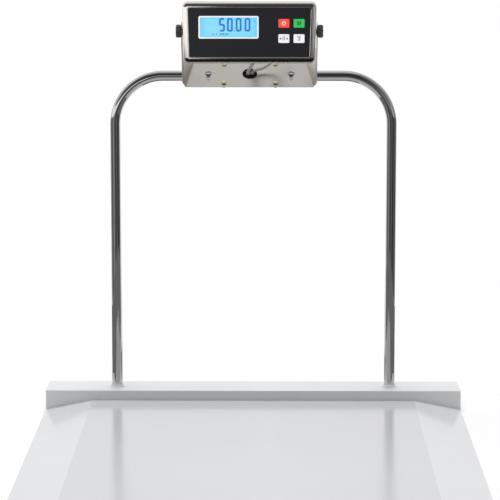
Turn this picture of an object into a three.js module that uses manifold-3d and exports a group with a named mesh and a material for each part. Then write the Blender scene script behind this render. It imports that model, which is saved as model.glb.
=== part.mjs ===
// A floor scale for wheelchairs. A low steel deck has a ramp down each side, a beam across its
// back carries a bent handrail, and a weight indicator tilts in a bracket clamped to the rail.
// Millimetres: X to the right, Y to the back, Z up, origin on the floor under the middle.

import * as THREE from "three";
import { mergeVertices } from "three/addons/utils/BufferGeometryUtils.js";
import Module from "manifold-3d";

const wasm = await Module();
wasm.setup();

// Clearances shared by every piece.
const SEAT_GAP = 0.3; // between two pieces that rest against each other
const CUT_OVERRUN = 5; // how far a cut runs past the face that it opens

// Deck: one folded sheet with a ramp on each side and a flange down its front and back edges.
const DECK_WIDTH = 1010; // flat part, between the two creases
const DECK_DEPTH = 1250;
const DECK_TOP = 34.5;
const DECK_SHEET = 3.5;
const RAMP_RUN = 146;
const RAMP_LIP_TOP = 5.5;
const DECK_FLANGE_FOOT = 6; // lower edge of the two flanges above the floor

// Channels welded under the deck.
const RIB_SIDE_INSET = 85; // from the crease to the channel's end
const RIB_WIDTH = 46;
const RIB_SHEET = 3;
const RIB_FOOT = 10;
const RIB_EDGE_INSET = 258; // from the deck's front or back edge to the nearest channel's middle

// Load cells, one under each corner, each bolted at its inner end and standing on a foot.
const CELL_LENGTH = 118;
const CELL_WIDTH = 28;
const CELL_ROOF_GAP = 5.4; // between the cell and the underside of the deck
const CELL_FOOT = 8.6; // underside of the cell above the floor
const CELL_SIDE_INSET = 50; // from the crease to the cell's middle
const CELL_EDGE_INSET = 22; // from the deck's edge to the cell's outer end
const CELL_HOLE_INSET = 17; // from each end of the cell to its hole
const CELL_POCKET_RADIUS = 5.5;
const CELL_POCKET_SPREAD = 18;
const CELL_PAD_LENGTH = 38; // welded pad on the deck that the cell is bolted to

const BOLT_RADIUS = 5;
const BOLT_HEAD_RADIUS = 8;
const BOLT_HEAD_HEIGHT = 6;
const BOLT_SOCKET_RADIUS = 4.2;
const BOLT_SOCKET_DEPTH = 4;
const BOLT_GRIP = 4.5; // how far the bolt enters the deck's pad

// Levelling feet.
const STEM_RADIUS = 5;
const STEM_GRIP = 15; // how far the stem enters the cell
const STEM_FLANGE_RADIUS = 9.5;
const STEM_FLANGE_HEIGHT = 2;
const FOOT_PAD_RADIUS = 20;
const FOOT_PAD_CHAMFER = 1.2;

// Beam behind the deck: a folded box, open below, with a cover plate.
const BEAM_DEPTH = 145;
const BEAM_TOP = 65;
const BEAM_FOOT = 4;
const BEAM_SHEET = 2;
const BEAM_COVER_SHEET = 2;

// Handrail.
const RAIL_RADIUS = 16;
const RAIL_WALL = 2;
const POST_INSET = 75; // from the deck's crease to the post's centre line
const RAIL_HEIGHT = 1048; // centre line of the top bar above the floor
const RAIL_BEND_RADIUS = 150;
const RAIL_BEND_STEPS = 9;
const RAIL_SIDES = 20;
const RAIL_CABLE_HOLE_RADIUS = 10;

const COLLAR_RADIUS = 22.5;
const COLLAR_HEIGHT = 9;
const COLLAR_ROUND = 3;
const SOCKET_WALL = 4.5;
const SOCKET_FLANGE = 92;
const SOCKET_FLANGE_SHEET = 4;
const SOCKET_CABLE_HOLE_RADIUS = 8;
const SOCKET_CABLE_HOLE_RISE = 17; // from the post's end to the side hole for the cable

// Junction box inside the beam.
const JUNCTION_LENGTH = 130;
const JUNCTION_CABLE_SPACE = 42.5; // inside the beam, in front of the box and behind it
const JUNCTION_HEIGHT = 38;
const JUNCTION_WALL = 2.5;
const JUNCTION_LID_SHEET = 3;
const JUNCTION_GLAND_RADIUS = 6;
const JUNCTION_GLAND_REACH = 8;
const JUNCTION_GLAND_PITCH = 30;
const JUNCTION_BOARD_SHEET = 1.6;
const TERMINAL_HEIGHT = 10;
const TERMINAL_DEPTH = 9;
const TERMINAL_ROW_SHARE = 0.8; // length of the terminals' row, of the board's

// Cables that lie inside the platform and the rail.
const CELL_CABLE_RADIUS = 2.5;
const CELL_CABLE_RISE = 18; // centre of the load cells' cables above the floor
const CELL_CABLE_BEND = 12;
const CELL_CABLE_LANE = 30; // to each side of the cell's middle
const CELL_CABLE_HOLE_RADIUS = 5;
const CELL_CABLE_WALL_INSET = 12; // from the beam's front face to the nearer cable
const CELL_CABLE_SPACING = 9; // between two cables side by side
const RAIL_CABLE_RADIUS = 3.5;
const RAIL_CABLE_TIGHT_BEND = 9;
const CABLE_SIDES = 8;
const CABLE_BEND_STEPS = 3;

// Bracket: a U of sheet clamped on the rail. Its base faces forward and up, and each side
// leans out from a slanting fold before it runs straight up to the pivot.
const BRACKET_TILT_DEG = 36; // base from the horizontal
const BRACKET_SHEET = 2;
const BRACKET_SLOPE = 123; // length of the base from its upper to its lower edge
const BRACKET_SHIFT = -11; // base's middle to the left of the middle of the rail
const BRACKET_DROP = 12; // base's middle below the rail's highest line, along the slope
const BRACKET_SPLAY_LOWER = 10.5; // from the outside of the ear in to the fold, at the lower edge
const BRACKET_SPLAY_UPPER = 33.2; // and at the upper edge
const BRACKET_LEAN_DEG = 30; // lean of the lower part of each side
const EAR_CLEARANCE = 2.95; // between the indicator's side and the ear at the pivot
const EAR_RISE = 172; // pivot above the underside of the base
const EAR_SHOULDER = 42;
const EAR_END_RADIUS = 29;
const EAR_END_STEPS = 10;
const KEYHOLE_INSET = 57.4; // from the fold to the keyhole, halfway up the slope
const KEYHOLE_HEAD_RADIUS = 11;
const KEYHOLE_SLOT_WIDTH = 11;
const KEYHOLE_SLOT_LENGTH = 26;
const BRACKET_CABLE_HOLE_RADIUS = 20.5;

const GROMMET_LIP = 2.2;
const GROMMET_LIP_HEIGHT = 1.6;
const GROMMET_WALL = 3;
const GROMMET_WEB = 1; // thin web that closes the grommet below

const CLAMP_SPREAD = 159; // between the two saddle clamps
const CLAMP_HOLE_PITCH = 89; // between the two screws of one clamp
const CLAMP_WIDTH = 30;
const CLAMP_SHEET = 3;
const CLAMP_EDGE = 11; // from a screw to the end of the clamp
const CLAMP_NUT_RADIUS = 8;
const CLAMP_NUT_HEIGHT = 7;
const CLAMP_BOW_STEPS = 10;
const SCREW_RADIUS = 4;
const SCREW_HEAD_RADIUS = 7.5;
const SCREW_HEAD_HEIGHT = 4.6;
const SCREW_SLOT_WIDTH = 1.6;
const SCREW_SLOT_DEPTH = 1.8;

// Indicator housing.
const REST_TILT_DEG = 1; // the face looks up by this much
const HOUSING_TOP_WIDTH = 409;
const HOUSING_TAPER = 9; // how much narrower its foot is
const HOUSING_HEIGHT = 187;
const HOUSING_DROP = 2.5; // its middle below the pivot
const HOUSING_DEPTH = 95;
const HOUSING_RIM = 14;
const HOUSING_CORNER = 4; // corner radius of the flat face inside the rim
const HOUSING_WALL = 1.5;
const HOUSING_FACE_WALL = 4.5;
const HOUSING_REAR_DEPTH = 16; // from the back to the joint between front and rear
const HOUSING_RIM_STEPS = 3;
const PIVOT_BOSS_RADIUS = 12;
const PIVOT_BOSS_LENGTH = 16;

// Overlay on the face, with its window and keys.
const PANEL_SIDE_MARGIN = 18.5; // from the housing's side to the overlay
const PANEL_END_MARGIN = 19.5; // from the housing's top or foot to the overlay
const PANEL_CORNER = 5;
const PANEL_SHEET = 1.2;
const PANEL_SET_BACK = 0.1; // front of the overlay behind the rim
const WINDOW_MARGIN = 32; // from the overlay's left edge to the window
const WINDOW_KEY_SPACE = 60; // between the window and the keys
const WINDOW_HEIGHT = 68;
const WINDOW_CORNER = 5;
const WINDOW_BORDER = 4.5;
const WINDOW_RISE = 16.2;
const KEY_WIDTH = 33;
const KEY_HEIGHT = 26;
const KEY_CORNER = 3;
const KEY_PITCH = 46;
const KEY_MARGIN = 19; // from the keys to the overlay's right edge
const KEY_BLOCK_RISE = 5.3;
const KEY_PROUD = 0.7;
const KEY_THICKNESS = 2.6;
const KEY_TRAVEL = 0.6;
const KEY_STEM_RADIUS = 2.5;
const KEY_STEM_LENGTH = 7;

// Inside the indicator.
const LCD_THICKNESS = 8;
const BOARD_SIDE_MARGIN = 28; // from the housing's side to the board
const BOARD_END_MARGIN = 29.5; // from the housing's top or foot to the board
const BOARD_SHEET = 1.6;
const SWITCH_SIZE = 7;
const BATTERY_WIDTH = 100;
const BATTERY_HEIGHT = 70;
const BATTERY_DEPTH = 47;
const BATTERY_SIDE_MARGIN = 55; // from the housing's left side to the battery

// Knobs.
const KNOB_RADIUS = 20;
const KNOB_LENGTH = 17;
const KNOB_LOBES = 9;
const KNOB_LOBE_DEPTH = 2.4;
const KNOB_EDGE = 5;
const KNOB_EDGE_STEPS = 3;
const STUD_RADIUS = 5;

// Glands on the rear of the indicator and the two leads that hang between them and the bracket.
const GLAND_RISE = -43.5; // below the middle of the housing
const SIGNAL_GLAND_SHIFT = 18;
const POWER_GLAND_SHIFT = 90;
const GLAND_HEX_RADIUS = 11.5;
const GLAND_HEX_LENGTH = 5;
const GLAND_DOME_RADIUS = 9;
const GLAND_DOME_LENGTH = 10;
const GLAND_DOME_TAPER_SHARE = 1 / 3; // length of its taper, of the dome's
const GLAND_DOME_END_SHARE = 0.75; // radius of its end, of the dome's
const GLAND_THREAD_RADIUS = 7.5;
const GLAND_THREAD_LENGTH = 8;
const SIGNAL_LEAD_RADIUS = 5.5;
const POWER_LEAD_RADIUS = 4;
const SIGNAL_LEAD_STEPS = 22;
const POWER_LEAD_STEPS = 28;

// The leads' routes in the bracket's frame, from the grommet to the glands.
const SIGNAL_LEAD_ROUTE = [
  [-5, -12, 18],
  [-5, -12, 23],
  [-2, -9.3, 31],
  [3, -2.6, 38.6],
  [9, 6.3, 46.5],
  [14.5, 16.9, 54.4],
  [18, 26.9, 63.2],
  [20, 34.4, 73.1],
  [20.5, 37.3, 83.3],
  [20, 35.4, 92.2],
  [19, 30.1, 98.8],
  [18, 23.5, 103.9],
  [18, 17.1, 108.8],
  [18, 14, 111.2],
  [18, 10.8, 113.5],
];
const POWER_LEAD_ROUTE = [
  [8, -12, 18],
  [8.2, -12, 22.5],
  [10.8, -11.5, 26.6],
  [16, -10.2, 29.4],
  [24, -8.1, 30.8],
  [33, -5.3, 31.7],
  [42, -2.1, 33.3],
  [51, 1.8, 36.4],
  [60, 6.6, 41],
  [68.6, 12.1, 47.1],
  [76.4, 18, 54.9],
  [82.6, 23.5, 63.9],
  [87, 28, 73.4],
  [89.4, 30.7, 82.7],
  [90, 30.4, 91.4],
  [90, 27.9, 98.5],
  [90, 23.5, 103.9],
  [90, 17.1, 108.8],
  [90, 10.8, 113.5],
];

// Fineness of small round pieces.
const ROUND_SIDES = 20;
const SMALL_SIDES = 12;
const HEX_SIDES = 6;
const CORNER_STEPS = 3;

// Places worked out from the sizes above.
const PLATFORM_WIDTH = DECK_WIDTH + 2 * RAMP_RUN;
const PLATFORM_DEPTH = DECK_DEPTH + SEAT_GAP + BEAM_DEPTH;
const DECK_FRONT = -PLATFORM_DEPTH / 2;
const DECK_BACK = DECK_FRONT + DECK_DEPTH;
const DECK_MIDDLE = (DECK_FRONT + DECK_BACK) / 2;
const DECK_UNDERSIDE = DECK_TOP - DECK_SHEET;
const BEAM_FRONT = DECK_BACK + SEAT_GAP;
const BEAM_BACK = BEAM_FRONT + BEAM_DEPTH;
const BEAM_MIDDLE = (BEAM_FRONT + BEAM_BACK) / 2;
const BEAM_COVER_TOP = BEAM_FOOT + BEAM_COVER_SHEET;
const RIB_LENGTH = DECK_WIDTH - 2 * RIB_SIDE_INSET;
const RIB_PITCH = DECK_DEPTH / 2 - RIB_EDGE_INSET;
const CELL_TOP = DECK_UNDERSIDE - CELL_ROOF_GAP;
const CELL_MIDDLE_Z = (CELL_FOOT + CELL_TOP) / 2;
const CELL_MIDDLE_X = DECK_WIDTH / 2 - CELL_SIDE_INSET;
const RAIL_SPREAD = DECK_WIDTH - 2 * POST_INSET;
const SOCKET_FOOT = BEAM_COVER_TOP + SEAT_GAP;
const POST_FOOT = SOCKET_FOOT + SOCKET_FLANGE_SHEET + SEAT_GAP;
const POST_CABLE_Z = POST_FOOT + SOCKET_CABLE_HOLE_RISE;
const JUNCTION_DEPTH = BEAM_DEPTH - 2 * JUNCTION_CABLE_SPACE;
const JUNCTION_FOOT = BEAM_COVER_TOP + SEAT_GAP;
const JUNCTION_RIM = JUNCTION_FOOT + JUNCTION_HEIGHT;
const BRACKET_TILT = THREE.MathUtils.degToRad(BRACKET_TILT_DEG);
const BRACKET_LEAN = THREE.MathUtils.degToRad(BRACKET_LEAN_DEG);
const REST_TILT = THREE.MathUtils.degToRad(REST_TILT_DEG);
const HOUSING_FOOT_WIDTH = HOUSING_TOP_WIDTH - HOUSING_TAPER;
const HOUSING_SPLIT = HOUSING_DEPTH - HOUSING_REAR_DEPTH;
const EAR_INNER = (HOUSING_TOP_WIDTH + HOUSING_FOOT_WIDTH) / 4 + EAR_CLEARANCE;
const EAR_OUTER = EAR_INNER + BRACKET_SHEET;
const BRACKET_FOLD_LOWER = EAR_OUTER - BRACKET_SPLAY_LOWER;
const BRACKET_FOLD_UPPER = EAR_OUTER - BRACKET_SPLAY_UPPER;
const KEYHOLE_X = (BRACKET_FOLD_LOWER + BRACKET_FOLD_UPPER) / 2 - KEYHOLE_INSET;
const BASE_UNDERSIDE = RAIL_RADIUS + SEAT_GAP; // in the bracket's frame, from the rail's axis
const BASE_FACE = BASE_UNDERSIDE + BRACKET_SHEET;
const PIVOT_IN_BRACKET = new THREE.Vector3(0, -BRACKET_DROP, BASE_UNDERSIDE + EAR_RISE);
const RAIL_AXIS = new THREE.Vector3(BRACKET_SHIFT, BEAM_MIDDLE, RAIL_HEIGHT);
const BRACKET_NORMAL = new THREE.Vector3(0, -Math.sin(BRACKET_TILT), Math.cos(BRACKET_TILT));
const PANEL_TOP_WIDTH = HOUSING_TOP_WIDTH - 2 * PANEL_SIDE_MARGIN;
const PANEL_FOOT_WIDTH = HOUSING_FOOT_WIDTH - 2 * PANEL_SIDE_MARGIN;
const PANEL_HEIGHT = HOUSING_HEIGHT - 2 * PANEL_END_MARGIN;
const KEY_BLOCK_WIDTH = KEY_PITCH + KEY_WIDTH;
const KEY_BLOCK_SHIFT = PANEL_TOP_WIDTH / 2 - KEY_MARGIN - KEY_BLOCK_WIDTH / 2;
const WINDOW_LEFT = -PANEL_TOP_WIDTH / 2 + WINDOW_MARGIN;
const WINDOW_RIGHT = KEY_BLOCK_SHIFT - KEY_BLOCK_WIDTH / 2 - WINDOW_KEY_SPACE;
const WINDOW_WIDTH = WINDOW_RIGHT - WINDOW_LEFT;
const WINDOW_SHIFT = (WINDOW_LEFT + WINDOW_RIGHT) / 2;
const BOARD_WIDTH = HOUSING_FOOT_WIDTH - 2 * BOARD_SIDE_MARGIN;
const BOARD_HEIGHT = HOUSING_HEIGHT - 2 * BOARD_END_MARGIN;
const BATTERY_LEFT = -HOUSING_FOOT_WIDTH / 2 + BATTERY_SIDE_MARGIN;
const FACE_Y = -HOUSING_DEPTH / 2; // in the indicator's frame, the face looks along -Y
const PANEL_FRONT_Y = FACE_Y + PANEL_SET_BACK;
const PANEL_BACK_Y = PANEL_FRONT_Y + PANEL_SHEET;
const RECESS_FLOOR_Y = PANEL_BACK_Y + SEAT_GAP;
const FACE_INSIDE_Y = FACE_Y + HOUSING_FACE_WALL;
const LCD_FRONT_Y = FACE_INSIDE_Y + SEAT_GAP;
const BOARD_FRONT_Y = LCD_FRONT_Y + LCD_THICKNESS + SEAT_GAP;
const KEY_FRONT_Y = FACE_Y - KEY_PROUD;
const KEY_BACK_Y = KEY_FRONT_Y + KEY_THICKNESS;
const KEY_STEM_END_Y = KEY_BACK_Y + KEY_STEM_LENGTH;

// Finishes.
const finish = (color, roughness, metalness) =>
  new THREE.MeshStandardMaterial({ color, roughness, metalness });
const PAINTED_DECK = finish(0xdcdee0, 0.5, 0.1);
const PAINTED_BEAM = finish(0xe4e5e6, 0.45, 0.1);
const GALVANISED = finish(0xa9adb0, 0.45, 0.8);
const CHROME = finish(0xd4d6d8, 0.08, 1);
const STAINLESS = finish(0xbdb9b0, 0.3, 1);
const POLISHED_STAINLESS = finish(0xc9c7c2, 0.12, 1);
const CELL_STEEL = finish(0xb4b6b8, 0.35, 0.9);
const ZINC_STEEL = finish(0xb9bbbd, 0.35, 0.9);
const BRASS = finish(0xb79a52, 0.3, 1);
const BLACK_RUBBER = finish(0x161616, 0.85, 0);
const BLACK_PLASTIC = finish(0x141414, 0.55, 0);
const GREY_PLASTIC = finish(0x8d9194, 0.6, 0);
const GREY_CABLE = finish(0x9c9c9e, 0.55, 0);
const BLACK_CABLE = finish(0x1c1c1e, 0.55, 0);
const BOARD_GREEN = finish(0x1d5a35, 0.5, 0);
const BATTERY_GREY = finish(0x3a3d42, 0.6, 0);
const CHARCOAL_FILM = finish(0x2c2c31, 0.4, 0);
const CLEAR_FILM = finish(0xe6ecf0, 0.1, 0);
const LCD_BLUE = finish(0x8fd2fb, 0.3, 0);
const KEY_RED = finish(0xe03a2f, 0.4, 0);
const KEY_GREEN = finish(0x2a9c4c, 0.4, 0);
const KEY_WHITE = finish(0xf0f0f0, 0.4, 0);

// Turning geometry into solids, and back.

function toSolid(geometry) {
  const bare = geometry.clone();
  bare.deleteAttribute("normal");
  bare.deleteAttribute("uv");
  const merged = mergeVertices(bare);
  return new wasm.Manifold(
    new wasm.Mesh({
      numProp: 3,
      vertProperties: new Float32Array(merged.attributes.position.array),
      triVerts: new Uint32Array(merged.index.array),
    }),
  );
}

function toGeometry(solid) {
  const mesh = solid.getMesh();
  const geometry = new THREE.BufferGeometry();
  geometry.setAttribute("position", new THREE.BufferAttribute(mesh.vertProperties, 3));
  geometry.setIndex(new THREE.BufferAttribute(mesh.triVerts, 1));
  geometry.computeVertexNormals();
  return geometry;
}

function join(first, ...others) {
  return toGeometry(others.reduce((solid, other) => solid.add(toSolid(other)), toSolid(first)));
}

function cut(first, ...tools) {
  return toGeometry(tools.reduce((solid, tool) => solid.subtract(toSolid(tool)), toSolid(first)));
}

function common(first, second) {
  return toGeometry(toSolid(first).intersect(toSolid(second)));
}

function piece(name, material, geometry) {
  const mesh = new THREE.Mesh(geometry, material);
  mesh.name = name;
  return mesh;
}

// Shapes that every sub-part is made from.

function box(x0, x1, y0, y1, z0, z1) {
  const geometry = new THREE.BoxGeometry(x1 - x0, y1 - y0, z1 - z0);
  return geometry.translate((x0 + x1) / 2, (y0 + y1) / 2, (z0 + z1) / 2);
}

function shapeOf(points) {
  return new THREE.Shape(points.map(([x, y]) => new THREE.Vector2(x, y)));
}

// The outline drawn in X and Z, standing between two places along Y.
function extrudeY(points, y0, y1) {
  const geometry = new THREE.ExtrudeGeometry(shapeOf(points), { depth: y1 - y0, bevelEnabled: false });
  return geometry.rotateX(Math.PI / 2).translate(0, y1, 0);
}

// The outline drawn in Y and Z, standing between two places along X.
function extrudeX(points, x0, x1) {
  const geometry = new THREE.ExtrudeGeometry(shapeOf(points), { depth: x1 - x0, bevelEnabled: false });
  const basis = new THREE.Matrix4().makeBasis(
    new THREE.Vector3(0, 1, 0),
    new THREE.Vector3(0, 0, 1),
    new THREE.Vector3(1, 0, 0),
  );
  return geometry.applyMatrix4(basis).translate(x0, 0, 0);
}

function extrudeZ(points, z0, z1) {
  const geometry = new THREE.ExtrudeGeometry(shapeOf(points), { depth: z1 - z0, bevelEnabled: false });
  return geometry.translate(0, 0, z0);
}

// A round rod between two points.
function rod(radius, start, end, sides = SMALL_SIDES) {
  const from = new THREE.Vector3(...start);
  const along = new THREE.Vector3(...end).sub(from);
  const geometry = new THREE.CylinderGeometry(radius, radius, along.length(), sides);
  geometry.translate(0, along.length() / 2, 0);
  const turn = new THREE.Quaternion().setFromUnitVectors(
    new THREE.Vector3(0, 1, 0),
    along.clone().normalize(),
  );
  return geometry.applyQuaternion(turn).translate(from.x, from.y, from.z);
}

// A turned piece standing on Z, from [radius, height] points that go up its outside.
function turned(profile, sides = ROUND_SIDES) {
  const points = profile.map(([radius, height]) => new THREE.Vector2(radius, height));
  return new THREE.LatheGeometry(points, sides).rotateX(Math.PI / 2);
}

// The outline with every corner rounded.
function rounded(points, radius, steps = CORNER_STEPS) {
  const outline = [];
  points.forEach((point, index) => {
    const corner = new THREE.Vector2(...point);
    const before = new THREE.Vector2(...points.at(index - 1)).sub(corner).normalize();
    const after = new THREE.Vector2(...points[(index + 1) % points.length]).sub(corner).normalize();
    const halfAngle = before.angleTo(after) / 2;
    const middle = before.clone().add(after).normalize();
    const centre = corner.clone().addScaledVector(middle, radius / Math.sin(halfAngle));
    const first = corner.clone().addScaledVector(before, radius / Math.tan(halfAngle)).sub(centre);
    const last = corner.clone().addScaledVector(after, radius / Math.tan(halfAngle)).sub(centre);
    const sweep = Math.atan2(first.x * last.y - first.y * last.x, first.dot(last));
    for (let step = 0; step <= steps; step += 1) {
      const spot = first.clone().rotateAround(new THREE.Vector2(), (sweep * step) / steps).add(centre);
      outline.push([spot.x, spot.y]);
    }
  });
  return outline;
}

function rectangle(width, height, middleX = 0, middleY = 0) {
  return [
    [middleX - width / 2, middleY - height / 2],
    [middleX + width / 2, middleY - height / 2],
    [middleX + width / 2, middleY + height / 2],
    [middleX - width / 2, middleY + height / 2],
  ];
}

function trapezoid(topWidth, footWidth, height) {
  return [
    [-footWidth / 2, -height / 2],
    [footWidth / 2, -height / 2],
    [topWidth / 2, height / 2],
    [-topWidth / 2, height / 2],
  ];
}

function circle(radius, sides, middleX = 0, middleY = 0) {
  return Array.from({ length: sides }, (_, index) => {
    const angle = (2 * Math.PI * index) / sides;
    return [middleX + radius * Math.cos(angle), middleY + radius * Math.sin(angle)];
  });
}

// A path of straight runs and round bends, with a station only where the tube needs one.
// There is one bend radius for each corner between the two ends.
class BentPath extends THREE.Curve {
  constructor(corners, bendRadii, bendSteps) {
    super();
    const points = corners.map((corner) => new THREE.Vector3(...corner));
    const direction = (index) => points[index + 1].clone().sub(points[index]).normalize();
    this.stations = [{ point: points[0], tangent: direction(0) }];
    bendRadii.forEach((radius, index) => {
      this.addBend(points[index + 1], direction(index), direction(index + 1), radius, bendSteps);
    });
    this.stations.push({ point: points.at(-1), tangent: direction(points.length - 2) });
  }

  addBend(corner, incoming, outgoing, radius, steps) {
    const angle = incoming.angleTo(outgoing);
    const inward = outgoing.clone().addScaledVector(incoming, -incoming.dot(outgoing)).normalize();
    const start = corner.clone().addScaledVector(incoming, -radius * Math.tan(angle / 2));
    const centre = start.clone().addScaledVector(inward, radius);
    for (let step = 0; step <= steps; step += 1) {
      const turn = (angle * step) / steps;
      const point = centre.clone().addScaledVector(inward, -radius * Math.cos(turn));
      point.addScaledVector(incoming, radius * Math.sin(turn));
      const tangent = incoming.clone().multiplyScalar(Math.cos(turn));
      tangent.addScaledVector(inward, Math.sin(turn));
      this.stations.push({ point, tangent });
    }
  }

  get steps() {
    return this.stations.length - 1;
  }

  station(t) {
    return this.stations[Math.round(t * this.steps)];
  }

  getPoint(t) {
    return this.station(t).point.clone();
  }

  getPointAt(t) {
    return this.getPoint(t);
  }

  getTangentAt(t) {
    return this.station(t).tangent.clone();
  }
}

function tubeAlong(path, radius, sides, steps, boreRadius = 0) {
  const section = shapeOf(circle(radius, sides));
  if (boreRadius > 0) {
    section.holes.push(shapeOf(circle(boreRadius, sides)));
  }
  return new THREE.ExtrudeGeometry(section, { steps, extrudePath: path, bevelEnabled: false });
}

function cableAlong(corners, radius, bendRadii) {
  const path = new BentPath(corners, bendRadii, CABLE_BEND_STEPS);
  return tubeAlong(path, radius, CABLE_SIDES, path.steps);
}

// Deck

function deckProfile() {
  const edge = PLATFORM_WIDTH / 2;
  const crease = DECK_WIDTH / 2;
  return [
    [-edge, RAMP_LIP_TOP - DECK_SHEET],
    [-crease, DECK_UNDERSIDE],
    [crease, DECK_UNDERSIDE],
    [edge, RAMP_LIP_TOP - DECK_SHEET],
    [edge, RAMP_LIP_TOP],
    [crease, DECK_TOP],
    [-crease, DECK_TOP],
    [-edge, RAMP_LIP_TOP],
  ];
}

function flangeProfile() {
  const edge = PLATFORM_WIDTH / 2;
  const crease = DECK_WIDTH / 2;
  const slope = (DECK_TOP - RAMP_LIP_TOP) / RAMP_RUN;
  const meeting = crease + (DECK_UNDERSIDE - DECK_FLANGE_FOOT) / slope;
  return [
    [-meeting, DECK_FLANGE_FOOT],
    [meeting, DECK_FLANGE_FOOT],
    [edge, RAMP_LIP_TOP - DECK_SHEET],
    [edge, RAMP_LIP_TOP],
    [crease, DECK_TOP],
    [-crease, DECK_TOP],
    [-edge, RAMP_LIP_TOP],
    [-edge, RAMP_LIP_TOP - DECK_SHEET],
  ];
}

// The four corners with their signs: left or right, front or back.
const CORNERS = [
  { name: "front_left", side: -1, end: -1 },
  { name: "front_right", side: 1, end: -1 },
  { name: "rear_left", side: -1, end: 1 },
  { name: "rear_right", side: 1, end: 1 },
].map((corner) => {
  const outerY = corner.end < 0 ? DECK_FRONT + CELL_EDGE_INSET : DECK_BACK - CELL_EDGE_INSET;
  return {
    ...corner,
    x: corner.side * CELL_MIDDLE_X,
    outerY,
    innerY: outerY - corner.end * CELL_LENGTH,
    footY: outerY - corner.end * CELL_HOLE_INSET,
    boltY: outerY - corner.end * (CELL_LENGTH - CELL_HOLE_INSET),
  };
});

// Lanes that the load cells' cables follow to the beam.
const frontLaneX = (side) => side * (CELL_MIDDLE_X + CELL_CABLE_LANE);
const rearLaneX = (side) => side * (CELL_MIDDLE_X - CELL_CABLE_LANE);

function cableHoles(y0, y1) {
  const lanes = [-1, 1].flatMap((side) => [frontLaneX(side), rearLaneX(side)]);
  const spot = (x, y) => [x, y, CELL_CABLE_RISE];
  return lanes.map((x) => rod(CELL_CABLE_HOLE_RADIUS, spot(x, y0 - CUT_OVERRUN), spot(x, y1 + CUT_OVERRUN)));
}

function deckPlate() {
  const front = extrudeY(flangeProfile(), DECK_FRONT, DECK_FRONT + DECK_SHEET);
  const back = extrudeY(flangeProfile(), DECK_BACK - DECK_SHEET, DECK_BACK);
  const pads = CORNERS.map(({ x, innerY, end }) => {
    const y0 = Math.min(innerY, innerY + end * CELL_PAD_LENGTH);
    const padFoot = CELL_TOP + SEAT_GAP;
    const padTop = DECK_UNDERSIDE + DECK_SHEET / 2;
    return box(x - CELL_WIDTH / 2, x + CELL_WIDTH / 2, y0, y0 + CELL_PAD_LENGTH, padFoot, padTop);
  });
  const tappingTop = CELL_TOP + BOLT_GRIP + SEAT_GAP;
  const tappings = CORNERS.map(({ x, boltY }) =>
    rod(BOLT_RADIUS + SEAT_GAP, [x, boltY, CELL_TOP - CUT_OVERRUN], [x, boltY, tappingTop]),
  );
  const sheet = join(extrudeY(deckProfile(), DECK_FRONT, DECK_BACK), front, back, ...pads);
  const plate = cut(sheet, ...cableHoles(DECK_BACK - DECK_SHEET, DECK_BACK), ...tappings);
  return piece("deck_plate", PAINTED_DECK, plate);
}

// A channel with its web down and its two legs welded to the deck.
function deckRib(name, middleY) {
  const top = DECK_UNDERSIDE - SEAT_GAP;
  const outer = RIB_WIDTH / 2;
  const inner = outer - RIB_SHEET;
  const profile = [
    [middleY - outer, RIB_FOOT],
    [middleY + outer, RIB_FOOT],
    [middleY + outer, top],
    [middleY + inner, top],
    [middleY + inner, RIB_FOOT + RIB_SHEET],
    [middleY - inner, RIB_FOOT + RIB_SHEET],
    [middleY - inner, top],
    [middleY - outer, top],
  ];
  return piece(name, GALVANISED, extrudeX(profile, -RIB_LENGTH / 2, RIB_LENGTH / 2));
}

function deckRibs() {
  return [
    deckRib("deck_rib_front", DECK_MIDDLE - RIB_PITCH),
    deckRib("deck_rib_middle", DECK_MIDDLE),
    deckRib("deck_rib_rear", DECK_MIDDLE + RIB_PITCH),
  ];
}

// Load cells and feet

function loadCell({ name, x, innerY, outerY, footY, boltY }) {
  const y0 = Math.min(innerY, outerY);
  const middleY = (innerY + outerY) / 2;
  const block = box(x - CELL_WIDTH / 2, x + CELL_WIDTH / 2, y0, y0 + CELL_LENGTH, CELL_FOOT, CELL_TOP);
  const pocketEnd = (shift) =>
    rod(
      CELL_POCKET_RADIUS,
      [x - CELL_WIDTH / 2 - CUT_OVERRUN, middleY + shift, CELL_MIDDLE_Z],
      [x + CELL_WIDTH / 2 + CUT_OVERRUN, middleY + shift, CELL_MIDDLE_Z],
    );
  const slot = box(
    x - CELL_WIDTH / 2 - CUT_OVERRUN,
    x + CELL_WIDTH / 2 + CUT_OVERRUN,
    middleY - CELL_POCKET_SPREAD / 2,
    middleY + CELL_POCKET_SPREAD / 2,
    CELL_MIDDLE_Z - CELL_POCKET_RADIUS / 2,
    CELL_MIDDLE_Z + CELL_POCKET_RADIUS / 2,
  );
  const stemHole = rod(
    STEM_RADIUS + SEAT_GAP,
    [x, footY, CELL_FOOT - CUT_OVERRUN],
    [x, footY, CELL_TOP + CUT_OVERRUN],
  );
  const boltHole = rod(
    BOLT_RADIUS + SEAT_GAP,
    [x, boltY, CELL_FOOT - CUT_OVERRUN],
    [x, boltY, CELL_TOP + CUT_OVERRUN],
  );
  const headHole = rod(
    BOLT_HEAD_RADIUS + SEAT_GAP,
    [x, boltY, CELL_FOOT - CUT_OVERRUN],
    [x, boltY, CELL_FOOT + BOLT_HEAD_HEIGHT + SEAT_GAP],
  );
  const shape = cut(
    block,
    pocketEnd(-CELL_POCKET_SPREAD / 2),
    pocketEnd(CELL_POCKET_SPREAD / 2),
    slot,
    stemHole,
    boltHole,
    headHole,
  );
  return piece("load_cell_" + name, CELL_STEEL, shape);
}

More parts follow.
